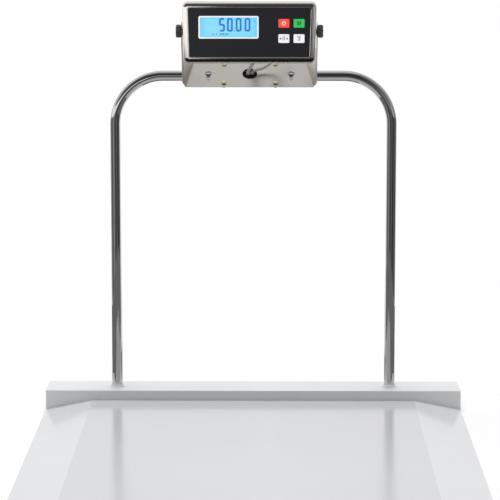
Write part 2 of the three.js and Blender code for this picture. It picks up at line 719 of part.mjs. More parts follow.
function loadCellBolt({ name, x, boltY }) {
  const tip = CELL_TOP + BOLT_GRIP;
  const shoulder = CELL_FOOT + BOLT_HEAD_HEIGHT;
  const bolt = turned(
    [
      [0, CELL_FOOT],
      [BOLT_HEAD_RADIUS, CELL_FOOT],
      [BOLT_HEAD_RADIUS, shoulder],
      [BOLT_RADIUS, shoulder],
      [BOLT_RADIUS, tip],
      [0, tip],
    ],
    SMALL_SIDES,
  );
  const socket = extrudeZ(
    circle(BOLT_SOCKET_RADIUS, HEX_SIDES),
    CELL_FOOT - CUT_OVERRUN,
    CELL_FOOT + BOLT_SOCKET_DEPTH,
  );
  return piece("load_cell_bolt_" + name, ZINC_STEEL, cut(bolt, socket).translate(x, boltY, 0));
}

function footStem({ name, x, footY }) {
  const flangeTop = CELL_FOOT - SEAT_GAP;
  const flangeFoot = flangeTop - STEM_FLANGE_HEIGHT;
  const stemTop = CELL_FOOT + STEM_GRIP;
  const stem = turned(
    [
      [0, flangeFoot],
      [STEM_FLANGE_RADIUS, flangeFoot],
      [STEM_FLANGE_RADIUS, flangeTop],
      [STEM_RADIUS, flangeTop],
      [STEM_RADIUS, stemTop],
      [0, stemTop],
    ],
    SMALL_SIDES,
  );
  return piece("foot_stem_" + name, ZINC_STEEL, stem.translate(x, footY, 0));
}

function footPad({ name, x, footY }) {
  const padTop = CELL_FOOT - SEAT_GAP - STEM_FLANGE_HEIGHT - SEAT_GAP;
  const pad = turned([
    [0, 0],
    [FOOT_PAD_RADIUS - FOOT_PAD_CHAMFER, 0],
    [FOOT_PAD_RADIUS, FOOT_PAD_CHAMFER],
    [FOOT_PAD_RADIUS, padTop - FOOT_PAD_CHAMFER],
    [FOOT_PAD_RADIUS - FOOT_PAD_CHAMFER, padTop],
    [0, padTop],
  ]);
  return piece("foot_pad_" + name, BLACK_RUBBER, pad.translate(x, footY, 0));
}

// Beam

function beamHousing() {
  const edge = PLATFORM_WIDTH / 2;
  const shell = box(-edge, edge, BEAM_FRONT, BEAM_BACK, BEAM_FOOT, BEAM_TOP);
  const inside = box(
    -edge + BEAM_SHEET,
    edge - BEAM_SHEET,
    BEAM_FRONT + BEAM_SHEET,
    BEAM_BACK - BEAM_SHEET,
    BEAM_FOOT - CUT_OVERRUN,
    BEAM_TOP - BEAM_SHEET,
  );
  const postHoles = [-1, 1].map((side) => {
    const x = (side * RAIL_SPREAD) / 2;
    const foot = [x, BEAM_MIDDLE, BEAM_TOP - CUT_OVERRUN];
    const top = [x, BEAM_MIDDLE, BEAM_TOP + CUT_OVERRUN];
    return rod(RAIL_RADIUS + SEAT_GAP, foot, top, RAIL_SIDES);
  });
  const frontHoles = cableHoles(BEAM_FRONT, BEAM_FRONT + BEAM_SHEET);
  return piece("beam_housing", PAINTED_BEAM, cut(shell, inside, ...postHoles, ...frontHoles));
}

function beamBottomCover() {
  const inset = BEAM_SHEET + SEAT_GAP;
  const edge = PLATFORM_WIDTH / 2 - inset;
  const plate = box(-edge, edge, BEAM_FRONT + inset, BEAM_BACK - inset, BEAM_FOOT, BEAM_COVER_TOP);
  return piece("beam_bottom_cover", GALVANISED, plate);
}

function postSocket(name, side) {
  const top = BEAM_TOP - BEAM_SHEET - SEAT_GAP;
  const bore = RAIL_RADIUS + SEAT_GAP;
  const half = SOCKET_FLANGE / 2;
  const flangeTop = SOCKET_FOOT + SOCKET_FLANGE_SHEET;
  const flange = box(-half, half, -half, half, SOCKET_FOOT, flangeTop);
  const sleeve = rod(bore + SOCKET_WALL, [0, 0, SOCKET_FOOT], [0, 0, top], ROUND_SIDES);
  const hollow = rod(bore, [0, 0, flangeTop], [0, 0, top + CUT_OVERRUN], RAIL_SIDES);
  const reach = bore + SOCKET_WALL + CUT_OVERRUN;
  const sideHole = rod(SOCKET_CABLE_HOLE_RADIUS, [0, 0, POST_CABLE_Z], [-side * reach, 0, POST_CABLE_Z]);
  const socket = cut(join(flange, sleeve), hollow, sideHole);
  return piece(name, GALVANISED, socket.translate((side * RAIL_SPREAD) / 2, BEAM_MIDDLE, 0));
}

function postCollar(name, side) {
  const bore = RAIL_RADIUS + SEAT_GAP;
  const foot = BEAM_TOP + SEAT_GAP;
  const top = foot + COLLAR_HEIGHT;
  const middle = COLLAR_ROUND * (1 - Math.SQRT1_2);
  const collar = turned([
    [bore, foot],
    [COLLAR_RADIUS, foot],
    [COLLAR_RADIUS, top - COLLAR_ROUND],
    [COLLAR_RADIUS - middle, top - middle],
    [COLLAR_RADIUS - COLLAR_ROUND, top],
    [bore, top],
    [bore, foot],
  ]);
  return piece(name, PAINTED_BEAM, collar.translate((side * RAIL_SPREAD) / 2, BEAM_MIDDLE, 0));
}

// Handrail

function handrail() {
  const half = RAIL_SPREAD / 2;
  const corners = [
    [-half, BEAM_MIDDLE, POST_FOOT],
    [-half, BEAM_MIDDLE, RAIL_HEIGHT],
    [half, BEAM_MIDDLE, RAIL_HEIGHT],
    [half, BEAM_MIDDLE, POST_FOOT],
  ];
  const path = new BentPath(corners, [RAIL_BEND_RADIUS, RAIL_BEND_RADIUS], RAIL_BEND_STEPS);
  const tube = tubeAlong(path, RAIL_RADIUS, RAIL_SIDES, path.steps, RAIL_RADIUS - RAIL_WALL);
  const above = RAIL_AXIS.clone().addScaledVector(BRACKET_NORMAL, RAIL_RADIUS + CUT_OVERRUN);
  const exitHole = rod(RAIL_CABLE_HOLE_RADIUS, RAIL_AXIS.toArray(), above.toArray());
  const inwardEnd = [-half + RAIL_RADIUS + CUT_OVERRUN, BEAM_MIDDLE, POST_CABLE_Z];
  const entryHole = rod(SOCKET_CABLE_HOLE_RADIUS, [-half, BEAM_MIDDLE, POST_CABLE_Z], inwardEnd);
  return piece("handrail", CHROME, cut(tube, exitHole, entryHole));
}

// Junction box inside the beam

function junctionGlandX(index) {
  return (index - (CORNERS.length - 1) / 2) * JUNCTION_GLAND_PITCH;
}

function junctionBox() {
  const half = JUNCTION_LENGTH / 2;
  const front = BEAM_MIDDLE - JUNCTION_DEPTH / 2;
  const back = BEAM_MIDDLE + JUNCTION_DEPTH / 2;
  const shell = box(-half, half, front, back, JUNCTION_FOOT, JUNCTION_RIM);
  const hollow = box(
    -half + JUNCTION_WALL,
    half - JUNCTION_WALL,
    front + JUNCTION_WALL,
    back - JUNCTION_WALL,
    JUNCTION_FOOT + JUNCTION_WALL,
    JUNCTION_RIM + CUT_OVERRUN,
  );
  const glands = CORNERS.map((_, index) =>
    rod(
      JUNCTION_GLAND_RADIUS,
      [junctionGlandX(index), front + JUNCTION_WALL / 2, CELL_CABLE_RISE],
      [junctionGlandX(index), front - JUNCTION_GLAND_REACH, CELL_CABLE_RISE],
    ),
  );
  const sideGland = rod(
    JUNCTION_GLAND_RADIUS,
    [-half + JUNCTION_WALL / 2, BEAM_MIDDLE, POST_CABLE_Z],
    [-half - JUNCTION_GLAND_REACH, BEAM_MIDDLE, POST_CABLE_Z],
  );
  return piece("junction_box", GREY_PLASTIC, join(cut(shell, hollow), ...glands, sideGland));
}

function junctionBoxLid() {
  const half = JUNCTION_LENGTH / 2;
  const foot = JUNCTION_RIM + SEAT_GAP;
  const depth = JUNCTION_DEPTH / 2;
  const lid = box(-half, half, BEAM_MIDDLE - depth, BEAM_MIDDLE + depth, foot, foot + JUNCTION_LID_SHEET);
  return piece("junction_box_lid", GREY_PLASTIC, lid);
}

// The board with one row of screw terminals along its front.
function junctionBoard() {
  const half = JUNCTION_LENGTH / 2 - JUNCTION_WALL - SEAT_GAP;
  const depth = JUNCTION_DEPTH / 2 - JUNCTION_WALL - SEAT_GAP;
  const foot = JUNCTION_FOOT + JUNCTION_WALL + SEAT_GAP;
  const top = foot + JUNCTION_BOARD_SHEET;
  const board = box(-half, half, BEAM_MIDDLE - depth, BEAM_MIDDLE + depth, foot, top);
  const rowFront = BEAM_MIDDLE - depth + TERMINAL_DEPTH;
  const rowHalf = half * TERMINAL_ROW_SHARE;
  const row = box(-rowHalf, rowHalf, rowFront, rowFront + TERMINAL_DEPTH, foot, top + TERMINAL_HEIGHT);
  return piece("junction_board", BOARD_GREEN, join(board, row));
}

// Cables inside the platform and the rail

function loadCellCable(corner, glandIndex) {
  const { name, side, end, x, innerY } = corner;
  const isFront = end < 0;
  const laneX = isFront ? frontLaneX(side) : rearLaneX(side);
  const turnY = innerY - end * (SEAT_GAP + 2 * CELL_CABLE_BEND);
  const wallY = BEAM_FRONT + CELL_CABLE_WALL_INSET + (isFront ? CELL_CABLE_SPACING : 0);
  const glandX = junctionGlandX(glandIndex);
  const glandY = BEAM_MIDDLE - JUNCTION_DEPTH / 2 - JUNCTION_GLAND_REACH - SEAT_GAP;
  const route = [
    [x, innerY - end * SEAT_GAP, CELL_CABLE_RISE],
    [x, turnY, CELL_CABLE_RISE],
    [laneX, turnY, CELL_CABLE_RISE],
    [laneX, wallY, CELL_CABLE_RISE],
    [glandX, wallY, CELL_CABLE_RISE],
    [glandX, glandY, CELL_CABLE_RISE],
  ];
  const bends = route.slice(2).map(() => CELL_CABLE_BEND);
  return piece("load_cell_cable_" + name, BLACK_CABLE, cableAlong(route, CELL_CABLE_RADIUS, bends));
}

// The cable from the junction box, up the left post and along the rail to the bracket.
function railCable() {
  const half = RAIL_SPREAD / 2;
  const exit = RAIL_AXIS.clone().addScaledVector(BRACKET_NORMAL, RAIL_RADIUS);
  const boxSide = -JUNCTION_LENGTH / 2 - JUNCTION_GLAND_REACH - SEAT_GAP;
  const route = [
    [boxSide, BEAM_MIDDLE, POST_CABLE_Z],
    [-half, BEAM_MIDDLE, POST_CABLE_Z],
    [-half, BEAM_MIDDLE, RAIL_HEIGHT],
    RAIL_AXIS.toArray(),
    exit.toArray(),
  ];
  const bends = [RAIL_CABLE_TIGHT_BEND, RAIL_BEND_RADIUS, RAIL_CABLE_TIGHT_BEND];
  return piece("rail_cable", BLACK_CABLE, cableAlong(route, RAIL_CABLE_RADIUS, bends));
}

// Bracket, drawn in its own frame: the rail's axis is the origin and Z stands off its base

// Half of the section at one place along the slope, as [x, z] pairs from the ear to the middle.
function bracketHalfSection(fold) {
  const webTurn = Math.PI / 2 - BRACKET_LEAN;
  const joggle = BASE_UNDERSIDE + (EAR_OUTER - fold) / Math.tan(BRACKET_LEAN);
  const top = PIVOT_IN_BRACKET.z + EAR_END_RADIUS + CUT_OVERRUN;
  const outside = [
    [EAR_OUTER, top],
    [EAR_OUTER, joggle],
    [fold, BASE_UNDERSIDE],
  ];
  const inside = [
    [EAR_INNER, top],
    [EAR_INNER, joggle + BRACKET_SHEET * Math.tan(BRACKET_LEAN / 2)],
    [fold - BRACKET_SHEET * Math.tan(webTurn / 2), BASE_FACE],
  ];
  return { outside, inside };
}

function bracketSection(fold, y) {
  const { outside, inside } = bracketHalfSection(fold);
  const mirrored = (points) => points.map(([x, z]) => [-x, z]);
  const ring = [
    ...mirrored(outside),
    ...[...outside].reverse(),
    ...inside,
    ...mirrored(inside).reverse(),
  ];
  return ring.map(([x, z]) => new THREE.Vector3(x, y, z));
}

// A solid between two sections with the same number of points.
function loft(first, second) {
  const flat = first.map((point) => new THREE.Vector2(point.x, point.z));
  const capFaces = THREE.ShapeUtils.triangulateShape(flat, []);
  const count = first.length;
  const faces = [];
  capFaces.forEach(([a, b, c]) => {
    faces.push(a, b, c);
    faces.push(c + count, b + count, a + count);
  });
  for (let index = 0; index < count; index += 1) {
    const next = (index + 1) % count;
    faces.push(index, index + count, next + count);
    faces.push(index, next + count, next);
  }
  const geometry = new THREE.BufferGeometry();
  const positions = [...first, ...second].flatMap((point) => point.toArray());
  geometry.setAttribute("position", new THREE.Float32BufferAttribute(positions, 3));
  geometry.setIndex(faces);
  return geometry;
}

// Seen from the side: the base's slope, then the taper up to the round end at the pivot.
function bracketOutline() {
  const lower = -BRACKET_DROP - BRACKET_SLOPE / 2;
  const upper = -BRACKET_DROP + BRACKET_SLOPE / 2;
  const shoulder = BASE_UNDERSIDE + EAR_SHOULDER;
  const { y: pivotY, z: pivotZ } = PIVOT_IN_BRACKET;
  const end = Array.from({ length: EAR_END_STEPS + 1 }, (_, index) => {
    const angle = (Math.PI * index) / EAR_END_STEPS;
    return [pivotY + EAR_END_RADIUS * Math.cos(angle), pivotZ + EAR_END_RADIUS * Math.sin(angle)];
  });
  return [
    [lower, BASE_UNDERSIDE - CUT_OVERRUN],
    [upper, BASE_UNDERSIDE - CUT_OVERRUN],
    [upper, shoulder],
    ...end,
    [lower, shoulder],
  ];
}

function keyholeCuts(side) {
  const x = side * KEYHOLE_X;
  const z0 = BASE_UNDERSIDE - CUT_OVERRUN;
  const z1 = BASE_FACE + CUT_OVERRUN;
  const slotEnd = -BRACKET_DROP - KEYHOLE_SLOT_LENGTH;
  const half = KEYHOLE_SLOT_WIDTH / 2;
  return [
    rod(KEYHOLE_HEAD_RADIUS, [x, -BRACKET_DROP, z0], [x, -BRACKET_DROP, z1], ROUND_SIDES),
    box(x - half, x + half, slotEnd, -BRACKET_DROP, z0, z1),
    rod(half, [x, slotEnd, z0], [x, slotEnd, z1]),
  ];
}

const CLAMP_SCREWS = [
  { name: "upper_left", side: -1, row: 1 },
  { name: "upper_right", side: 1, row: 1 },
  { name: "lower_left", side: -1, row: -1 },
  { name: "lower_right", side: 1, row: -1 },
].map((screw) => ({
  ...screw,
  x: (screw.side * CLAMP_SPREAD) / 2,
  y: -BRACKET_DROP + (screw.row * CLAMP_HOLE_PITCH) / 2,
}));

function indicatorBracket() {
  const lower = -BRACKET_DROP - BRACKET_SLOPE / 2;
  const upper = -BRACKET_DROP + BRACKET_SLOPE / 2;
  const bent = loft(bracketSection(BRACKET_FOLD_LOWER, lower), bracketSection(BRACKET_FOLD_UPPER, upper));
  const side = EAR_OUTER + CUT_OVERRUN;
  const trimmed = common(bent, extrudeX(bracketOutline(), -side, side));
  const z0 = BASE_UNDERSIDE - CUT_OVERRUN;
  const z1 = BASE_FACE + CUT_OVERRUN;
  const screwHoles = CLAMP_SCREWS.map(({ x, y }) => rod(SCREW_RADIUS + SEAT_GAP, [x, y, z0], [x, y, z1]));
  const middle = -BRACKET_DROP;
  const cableHole = rod(BRACKET_CABLE_HOLE_RADIUS, [0, middle, z0], [0, middle, z1], ROUND_SIDES);
  const { y: pivotY, z: pivotZ } = PIVOT_IN_BRACKET;
  const pivotHole = rod(STUD_RADIUS + SEAT_GAP, [-side, pivotY, pivotZ], [side, pivotY, pivotZ]);
  const holes = [...screwHoles, cableHole, pivotHole, ...keyholeCuts(-1), ...keyholeCuts(1)];
  return piece("indicator_bracket", STAINLESS, cut(trimmed, ...holes));
}

function cableGrommet() {
  const neck = BRACKET_CABLE_HOLE_RADIUS - SEAT_GAP;
  const lip = BRACKET_CABLE_HOLE_RADIUS + GROMMET_LIP;
  const foot = BASE_UNDERSIDE + SEAT_GAP;
  const lipFoot = BASE_FACE + SEAT_GAP;
  const lipTop = lipFoot + GROMMET_LIP_HEIGHT;
  const bore = neck - GROMMET_WALL;
  const grommet = turned([
    [0, foot],
    [neck, foot],
    [neck, lipFoot],
    [lip, lipFoot],
    [lip, lipTop],
    [bore, lipTop],
    [bore, foot + GROMMET_WEB],
    [0, foot + GROMMET_WEB],
  ]);
  return piece("cable_grommet", BLACK_RUBBER, grommet.translate(0, -BRACKET_DROP, 0));
}

// A strap round the back of the rail, with a nut pressed in at each end.
function saddleClamp(name, side) {
  const flangeTop = BASE_UNDERSIDE - SEAT_GAP;
  const flangeFoot = flangeTop - CLAMP_SHEET;
  const inner = RAIL_RADIUS + SEAT_GAP;
  const outer = inner + CLAMP_SHEET;
  const upperEnd = -BRACKET_DROP + CLAMP_HOLE_PITCH / 2 + CLAMP_EDGE;
  const lowerEnd = -BRACKET_DROP - CLAMP_HOLE_PITCH / 2 - CLAMP_EDGE;
  const bow = (radius, backwards) =>
    Array.from({ length: CLAMP_BOW_STEPS + 1 }, (_, index) => {
      const share = (backwards ? CLAMP_BOW_STEPS - index : index) / CLAMP_BOW_STEPS;
      const angle = Math.PI + Math.PI * share;
      return [radius * Math.cos(angle), radius * Math.sin(angle)];
    });
  const profile = [
    [lowerEnd, flangeTop],
    [lowerEnd, flangeFoot],
    [-outer, flangeFoot],
    ...bow(outer, false),
    [outer, flangeFoot],
    [upperEnd, flangeFoot],
    [upperEnd, flangeTop],
    [inner, flangeTop],
    ...bow(inner, true),
    [-inner, flangeTop],
  ];
  const x = (side * CLAMP_SPREAD) / 2;
  const strap = extrudeX(profile, x - CLAMP_WIDTH / 2, x + CLAMP_WIDTH / 2);
  const own = CLAMP_SCREWS.filter((screw) => screw.side === side);
  const nutFoot = flangeFoot - CLAMP_NUT_HEIGHT;
  const nuts = own.map(({ y }) => rod(CLAMP_NUT_RADIUS, [x, y, nutFoot], [x, y, flangeTop]));
  const threads = own.map(({ y }) =>
    rod(SCREW_RADIUS + SEAT_GAP, [x, y, nutFoot - CUT_OVERRUN], [x, y, flangeTop + CUT_OVERRUN]),
  );
  return piece(name, STAINLESS, cut(join(strap, ...nuts), ...threads));
}

function clampScrew({ name, x, y }) {
  const headFoot = BASE_FACE + SEAT_GAP;
  const headTop = headFoot + SCREW_HEAD_HEIGHT;
  const tip = BASE_UNDERSIDE - SEAT_GAP - CLAMP_SHEET - CLAMP_NUT_HEIGHT;
  const domeShoulder = headFoot + SCREW_HEAD_HEIGHT / 2;
  const screw = turned(
    [
      [0, tip],
      [SCREW_RADIUS, tip],
      [SCREW_RADIUS, headFoot],
      [SCREW_HEAD_RADIUS, headFoot],
      [SCREW_HEAD_RADIUS, domeShoulder],
      [SCREW_HEAD_RADIUS * Math.SQRT1_2, headTop],
      [0, headTop],
    ],
    SMALL_SIDES,
  );
  const reach = SCREW_HEAD_RADIUS + CUT_OVERRUN;
  const half = SCREW_SLOT_WIDTH / 2;
  const slot = box(-reach, reach, -half, half, headTop - SCREW_SLOT_DEPTH, headTop + CUT_OVERRUN);
  return piece("clamp_screw_" + name, BRASS, cut(screw, slot).translate(x, y, 0));
}

// Indicator, drawn in its own frame: the housing's middle is the origin and the face looks along -Y

// A rounded block of the housing's outline, set in by a wall.
function housingBlock(wall, frontY, backY) {
  const rim = HOUSING_RIM - wall;
  const inset = 2 * (wall + rim);
  const outline = rounded(
    trapezoid(HOUSING_TOP_WIDTH - inset, HOUSING_FOOT_WIDTH - inset, HOUSING_HEIGHT - inset),
    HOUSING_CORNER,
  );
  const geometry = new THREE.ExtrudeGeometry(shapeOf(outline), {
    depth: backY - frontY - 2 * rim,
    bevelEnabled: true,
    bevelThickness: rim,
    bevelSize: rim,
    bevelSegments: HOUSING_RIM_STEPS,
  });
  return geometry.rotateX(Math.PI / 2).translate(0, backY - rim, 0);
}

function housingShell() {
  const backY = FACE_Y + HOUSING_DEPTH;
  return cut(housingBlock(0, FACE_Y, backY), housingBlock(HOUSING_WALL, FACE_INSIDE_Y, backY - HOUSING_WALL));
}

function panelOutline(grow) {
  const both = 2 * grow;
  const size = trapezoid(PANEL_TOP_WIDTH + both, PANEL_FOOT_WIDTH + both, PANEL_HEIGHT + both);
  return rounded(size, PANEL_CORNER + grow);
}

function windowOutline(grow) {
  const size = rectangle(WINDOW_WIDTH + 2 * grow, WINDOW_HEIGHT + 2 * grow, WINDOW_SHIFT, WINDOW_RISE);
  return rounded(size, WINDOW_CORNER + grow);
}

const KEYS = [
  { name: "key_power", column: -1, row: 1, material: KEY_RED },
  { name: "key_hold", column: 1, row: 1, material: KEY_GREEN },
  { name: "key_zero", column: -1, row: -1, material: KEY_WHITE },
  { name: "key_unit", column: 1, row: -1, material: KEY_WHITE },
].map((key) => ({
  ...key,
  x: KEY_BLOCK_SHIFT + (key.column * KEY_PITCH) / 2,
  z: KEY_BLOCK_RISE + (key.row * KEY_PITCH) / 2,
}));

function keyOutline({ x, z }, grow) {
  return rounded(rectangle(KEY_WIDTH + 2 * grow, KEY_HEIGHT + 2 * grow, x, z), KEY_CORNER + grow);
}

function pivotBoss(side) {
  const outer = side * (EAR_INNER - SEAT_GAP);
  const inner = outer - side * PIVOT_BOSS_LENGTH;
  return rod(PIVOT_BOSS_RADIUS, [inner, 0, HOUSING_DROP], [outer, 0, HOUSING_DROP], ROUND_SIDES);
}

function housingFront() {
  const reach = HOUSING_TOP_WIDTH;
  const joint = FACE_Y + HOUSING_SPLIT;
  const rearPart = box(-reach, reach, joint, joint + HOUSING_DEPTH, -reach, reach);
  const opening = rectangle(
    WINDOW_WIDTH - 2 * WINDOW_BORDER,
    WINDOW_HEIGHT - 2 * WINDOW_BORDER,
    WINDOW_SHIFT,
    WINDOW_RISE,
  );
  const before = FACE_Y - CUT_OVERRUN;
  const behind = FACE_INSIDE_Y + CUT_OVERRUN;
  const windowHole = extrudeY(rounded(opening, WINDOW_CORNER), before, behind);
  const recess = extrudeY(panelOutline(SEAT_GAP), before, RECESS_FLOOR_Y);
  const pocketFloor = KEY_BACK_Y + KEY_TRAVEL + SEAT_GAP;
  const pockets = KEYS.map((key) => extrudeY(keyOutline(key, SEAT_GAP), FACE_Y, pocketFloor));
  const stemHoles = KEYS.map(({ x, z }) =>
    rod(KEY_STEM_RADIUS + SEAT_GAP, [x, FACE_Y, z], [x, behind, z]),
  );
  const studs = rod(STUD_RADIUS + SEAT_GAP, [-reach, 0, HOUSING_DROP], [reach, 0, HOUSING_DROP]);
  const body = join(cut(housingShell(), rearPart), pivotBoss(-1), pivotBoss(1));
  return piece(
    "housing_front",
    POLISHED_STAINLESS,
    cut(body, recess, windowHole, ...pockets, ...stemHoles, studs),
  );
}

const GLANDS = [
  { name: "gland_signal", x: SIGNAL_GLAND_SHIFT },
  { name: "gland_power", x: POWER_GLAND_SHIFT },
];

function housingRear() {
  const reach = HOUSING_TOP_WIDTH;
  const joint = FACE_Y + HOUSING_SPLIT + SEAT_GAP;
  const frontPart = box(-reach, reach, joint - HOUSING_DEPTH, joint, -reach, reach);
  const backY = FACE_Y + HOUSING_DEPTH;
  const holes = GLANDS.map(({ x }) =>
    rod(
      GLAND_THREAD_RADIUS + SEAT_GAP,
      [x, backY - HOUSING_WALL - CUT_OVERRUN, GLAND_RISE],
      [x, backY + CUT_OVERRUN, GLAND_RISE],
    ),
  );
  return piece("housing_rear", POLISHED_STAINLESS, cut(housingShell(), frontPart, ...holes));
}

function facePanel() {
  const sheet = extrudeY(panelOutline(0), PANEL_FRONT_Y, PANEL_BACK_Y);
  const y0 = PANEL_FRONT_Y - CUT_OVERRUN;
  const y1 = PANEL_BACK_Y + CUT_OVERRUN;
  const window = extrudeY(windowOutline(SEAT_GAP), y0, y1);
  const keyHoles = KEYS.map((key) => extrudeY(keyOutline(key, SEAT_GAP), y0, y1));
  return piece("face_panel", CHARCOAL_FILM, cut(sheet, window, ...keyHoles));
}

function lcdWindow() {
  return piece("lcd_window", CLEAR_FILM, extrudeY(windowOutline(0), PANEL_FRONT_Y, PANEL_BACK_Y));
}

function lcdModule() {
  const outline = rectangle(WINDOW_WIDTH, WINDOW_HEIGHT, WINDOW_SHIFT, WINDOW_RISE);
  return piece("lcd_module", LCD_BLUE, extrudeY(outline, LCD_FRONT_Y, LCD_FRONT_Y + LCD_THICKNESS));
}

// The board carries one switch behind each key.
function mainBoard() {
  const board = extrudeY(rectangle(BOARD_WIDTH, BOARD_HEIGHT), BOARD_FRONT_Y, BOARD_FRONT_Y + BOARD_SHEET);
  const switchFront = KEY_STEM_END_Y + KEY_TRAVEL + SEAT_GAP;
  const switches = KEYS.map(({ x, z }) =>
    extrudeY(rectangle(SWITCH_SIZE, SWITCH_SIZE, x, z), switchFront, BOARD_FRONT_Y + BOARD_SHEET),
  );
  return piece("main_board", BOARD_GREEN, join(board, ...switches));
}

function battery() {
  const foot = -HOUSING_HEIGHT / 2 + HOUSING_WALL + SEAT_GAP;
  const back = FACE_Y + HOUSING_SPLIT - SEAT_GAP;
  const pack = box(
    BATTERY_LEFT,
    BATTERY_LEFT + BATTERY_WIDTH,
    back - BATTERY_DEPTH,
    back,
    foot,
    foot + BATTERY_HEIGHT,
  );
  return piece("battery", BATTERY_GREY, pack);
}

function keyCap(key) {
  const cap = extrudeY(keyOutline(key, 0), KEY_FRONT_Y, KEY_BACK_Y);
  const stem = rod(KEY_STEM_RADIUS, [key.x, KEY_FRONT_Y + KEY_PROUD, key.z], [key.x, KEY_STEM_END_Y, key.z]);
  return piece(key.name, key.material, join(cap, stem));
}

// A lobed grip with its stud, which passes through the ear into the housing. The pivot is its origin.
function knob(name, side) {
  const steps = 4 * KNOB_LOBES;
  const outline = Array.from({ length: steps }, (_, index) => {
    const angle = (2 * Math.PI * index) / steps;
    const dip = (KNOB_LOBE_DEPTH * (1 - Math.cos(KNOB_LOBES * angle))) / 2;
    const radius = KNOB_RADIUS - KNOB_EDGE - dip;
    return [radius * Math.cos(angle), radius * Math.sin(angle)];
  });
  const grip = new THREE.ExtrudeGeometry(shapeOf(outline), {
    depth: KNOB_LENGTH - 2 * KNOB_EDGE,
    bevelEnabled: true,
    bevelThickness: KNOB_EDGE,
    bevelSize: KNOB_EDGE,
    bevelSegments: KNOB_EDGE_STEPS,
  });
  grip.translate(0, 0, EAR_OUTER + SEAT_GAP + KNOB_EDGE);
  const studEnd = EAR_INNER - SEAT_GAP - PIVOT_BOSS_LENGTH;
  const stud = rod(STUD_RADIUS, [0, 0, studEnd], [0, 0, EAR_OUTER + KNOB_LENGTH / 2]);
  return piece(name, BLACK_PLASTIC, join(grip, stud).rotateY((side * Math.PI) / 2));
}

// A gland standing out of the rear cover.
function gland({ name, x }) {
  const wall = -HOUSING_WALL;
  const hex = extrudeZ(circle(GLAND_HEX_RADIUS, HEX_SIDES), SEAT_GAP, SEAT_GAP + GLAND_HEX_LENGTH);
  const domeFoot = SEAT_GAP + GLAND_HEX_LENGTH / 2;
  const domeTop = SEAT_GAP + GLAND_HEX_LENGTH + GLAND_DOME_LENGTH;
  const dome = turned(
    [
      [0, domeFoot],
      [GLAND_DOME_RADIUS, domeFoot],
      [GLAND_DOME_RADIUS, domeTop - GLAND_DOME_LENGTH * GLAND_DOME_TAPER_SHARE],
      [GLAND_DOME_RADIUS * GLAND_DOME_END_SHARE, domeTop],
      [0, domeTop],
    ],
    SMALL_SIDES,
  );
  const thread = rod(GLAND_THREAD_RADIUS, [0, 0, wall - GLAND_THREAD_LENGTH], [0, 0, domeFoot + SEAT_GAP]);
  const fitting = join(hex, dome, thread);
  fitting.rotateX(-Math.PI / 2);
  return piece(name, BLACK_PLASTIC, fitting.translate(x, FACE_Y + HOUSING_DEPTH, GLAND_RISE));
}

// The two leads that hang free between the grommet and the glands

function lead(name, route, radius, steps) {
  const path = new THREE.CatmullRomCurve3(route.map((point) => new THREE.Vector3(...point)));
  return piece(name, GREY_CABLE, tubeAlong(path, radius, CABLE_SIDES, steps));
}

// The whole scale

function bracketGroup() {
  const group = new THREE.Group();
  group.position.copy(RAIL_AXIS);
  group.rotation.x = BRACKET_TILT;
  group.add(
    indicatorBracket(),
    cableGrommet(),
    saddleClamp("saddle_clamp_left", -1),
    saddleClamp("saddle_clamp_right", 1),
    ...CLAMP_SCREWS.map(clampScrew),
    lead("signal_lead", SIGNAL_LEAD_ROUTE, SIGNAL_LEAD_RADIUS, SIGNAL_LEAD_STEPS),
    lead("power_lead", POWER_LEAD_ROUTE, POWER_LEAD_RADIUS, POWER_LEAD_STEPS),
  );
  return group;
}

function indicatorGroup() {
  const group = new THREE.Group();
  const pivot = PIVOT_IN_BRACKET.clone().applyAxisAngle(new THREE.Vector3(1, 0, 0), BRACKET_TILT);
  group.position.copy(RAIL_AXIS).add(pivot);
  group.rotation.x = -REST_TILT;
  const housing = new THREE.Group();
  housing.position.z = -HOUSING_DROP;
  housing.add(
    housingFront(),
    housingRear(),
    facePanel(),
    lcdWindow(),
    lcdModule(),
    mainBoard(),
    battery(),
    ...KEYS.map(keyCap),
    ...GLANDS.map(gland),
  );
  group.add(housing, knob("knob_left", -1), knob("knob_right", 1));
  return group;
}

const scale = new THREE.Group();
scale.add(
  deckPlate(),
  ...deckRibs(),
  ...CORNERS.map(loadCell),
  ...CORNERS.map(loadCellBolt),
  ...CORNERS.map(footStem),
  ...CORNERS.map(footPad),
  beamHousing(),
  beamBottomCover(),
  postSocket("post_socket_left", -1),
  postSocket("post_socket_right", 1),
  postCollar("post_collar_left", -1),
  postCollar("post_collar_right", 1),
  handrail(),
  junctionBox(),
  junctionBoxLid(),
  junctionBoard(),
  loadCellCable(CORNERS[0], 0),
  loadCellCable(CORNERS[2], 1),
  loadCellCable(CORNERS[3], 2),
  loadCellCable(CORNERS[1], 3),
  railCable(),
  bracketGroup(),
  indicatorGroup(),
);

export default scale;
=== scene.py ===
"""The looks of the floor scale with its ramps and handrail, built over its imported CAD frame."""

import logging
import math
from collections.abc import Callable, Iterable, Mapping, Sequence
from dataclasses import dataclass, field, replace
from enum import Enum
from typing import Any

import bmesh
import bpy
from mathutils import Matrix, Vector
from mathutils.geometry import interpolate_bezier


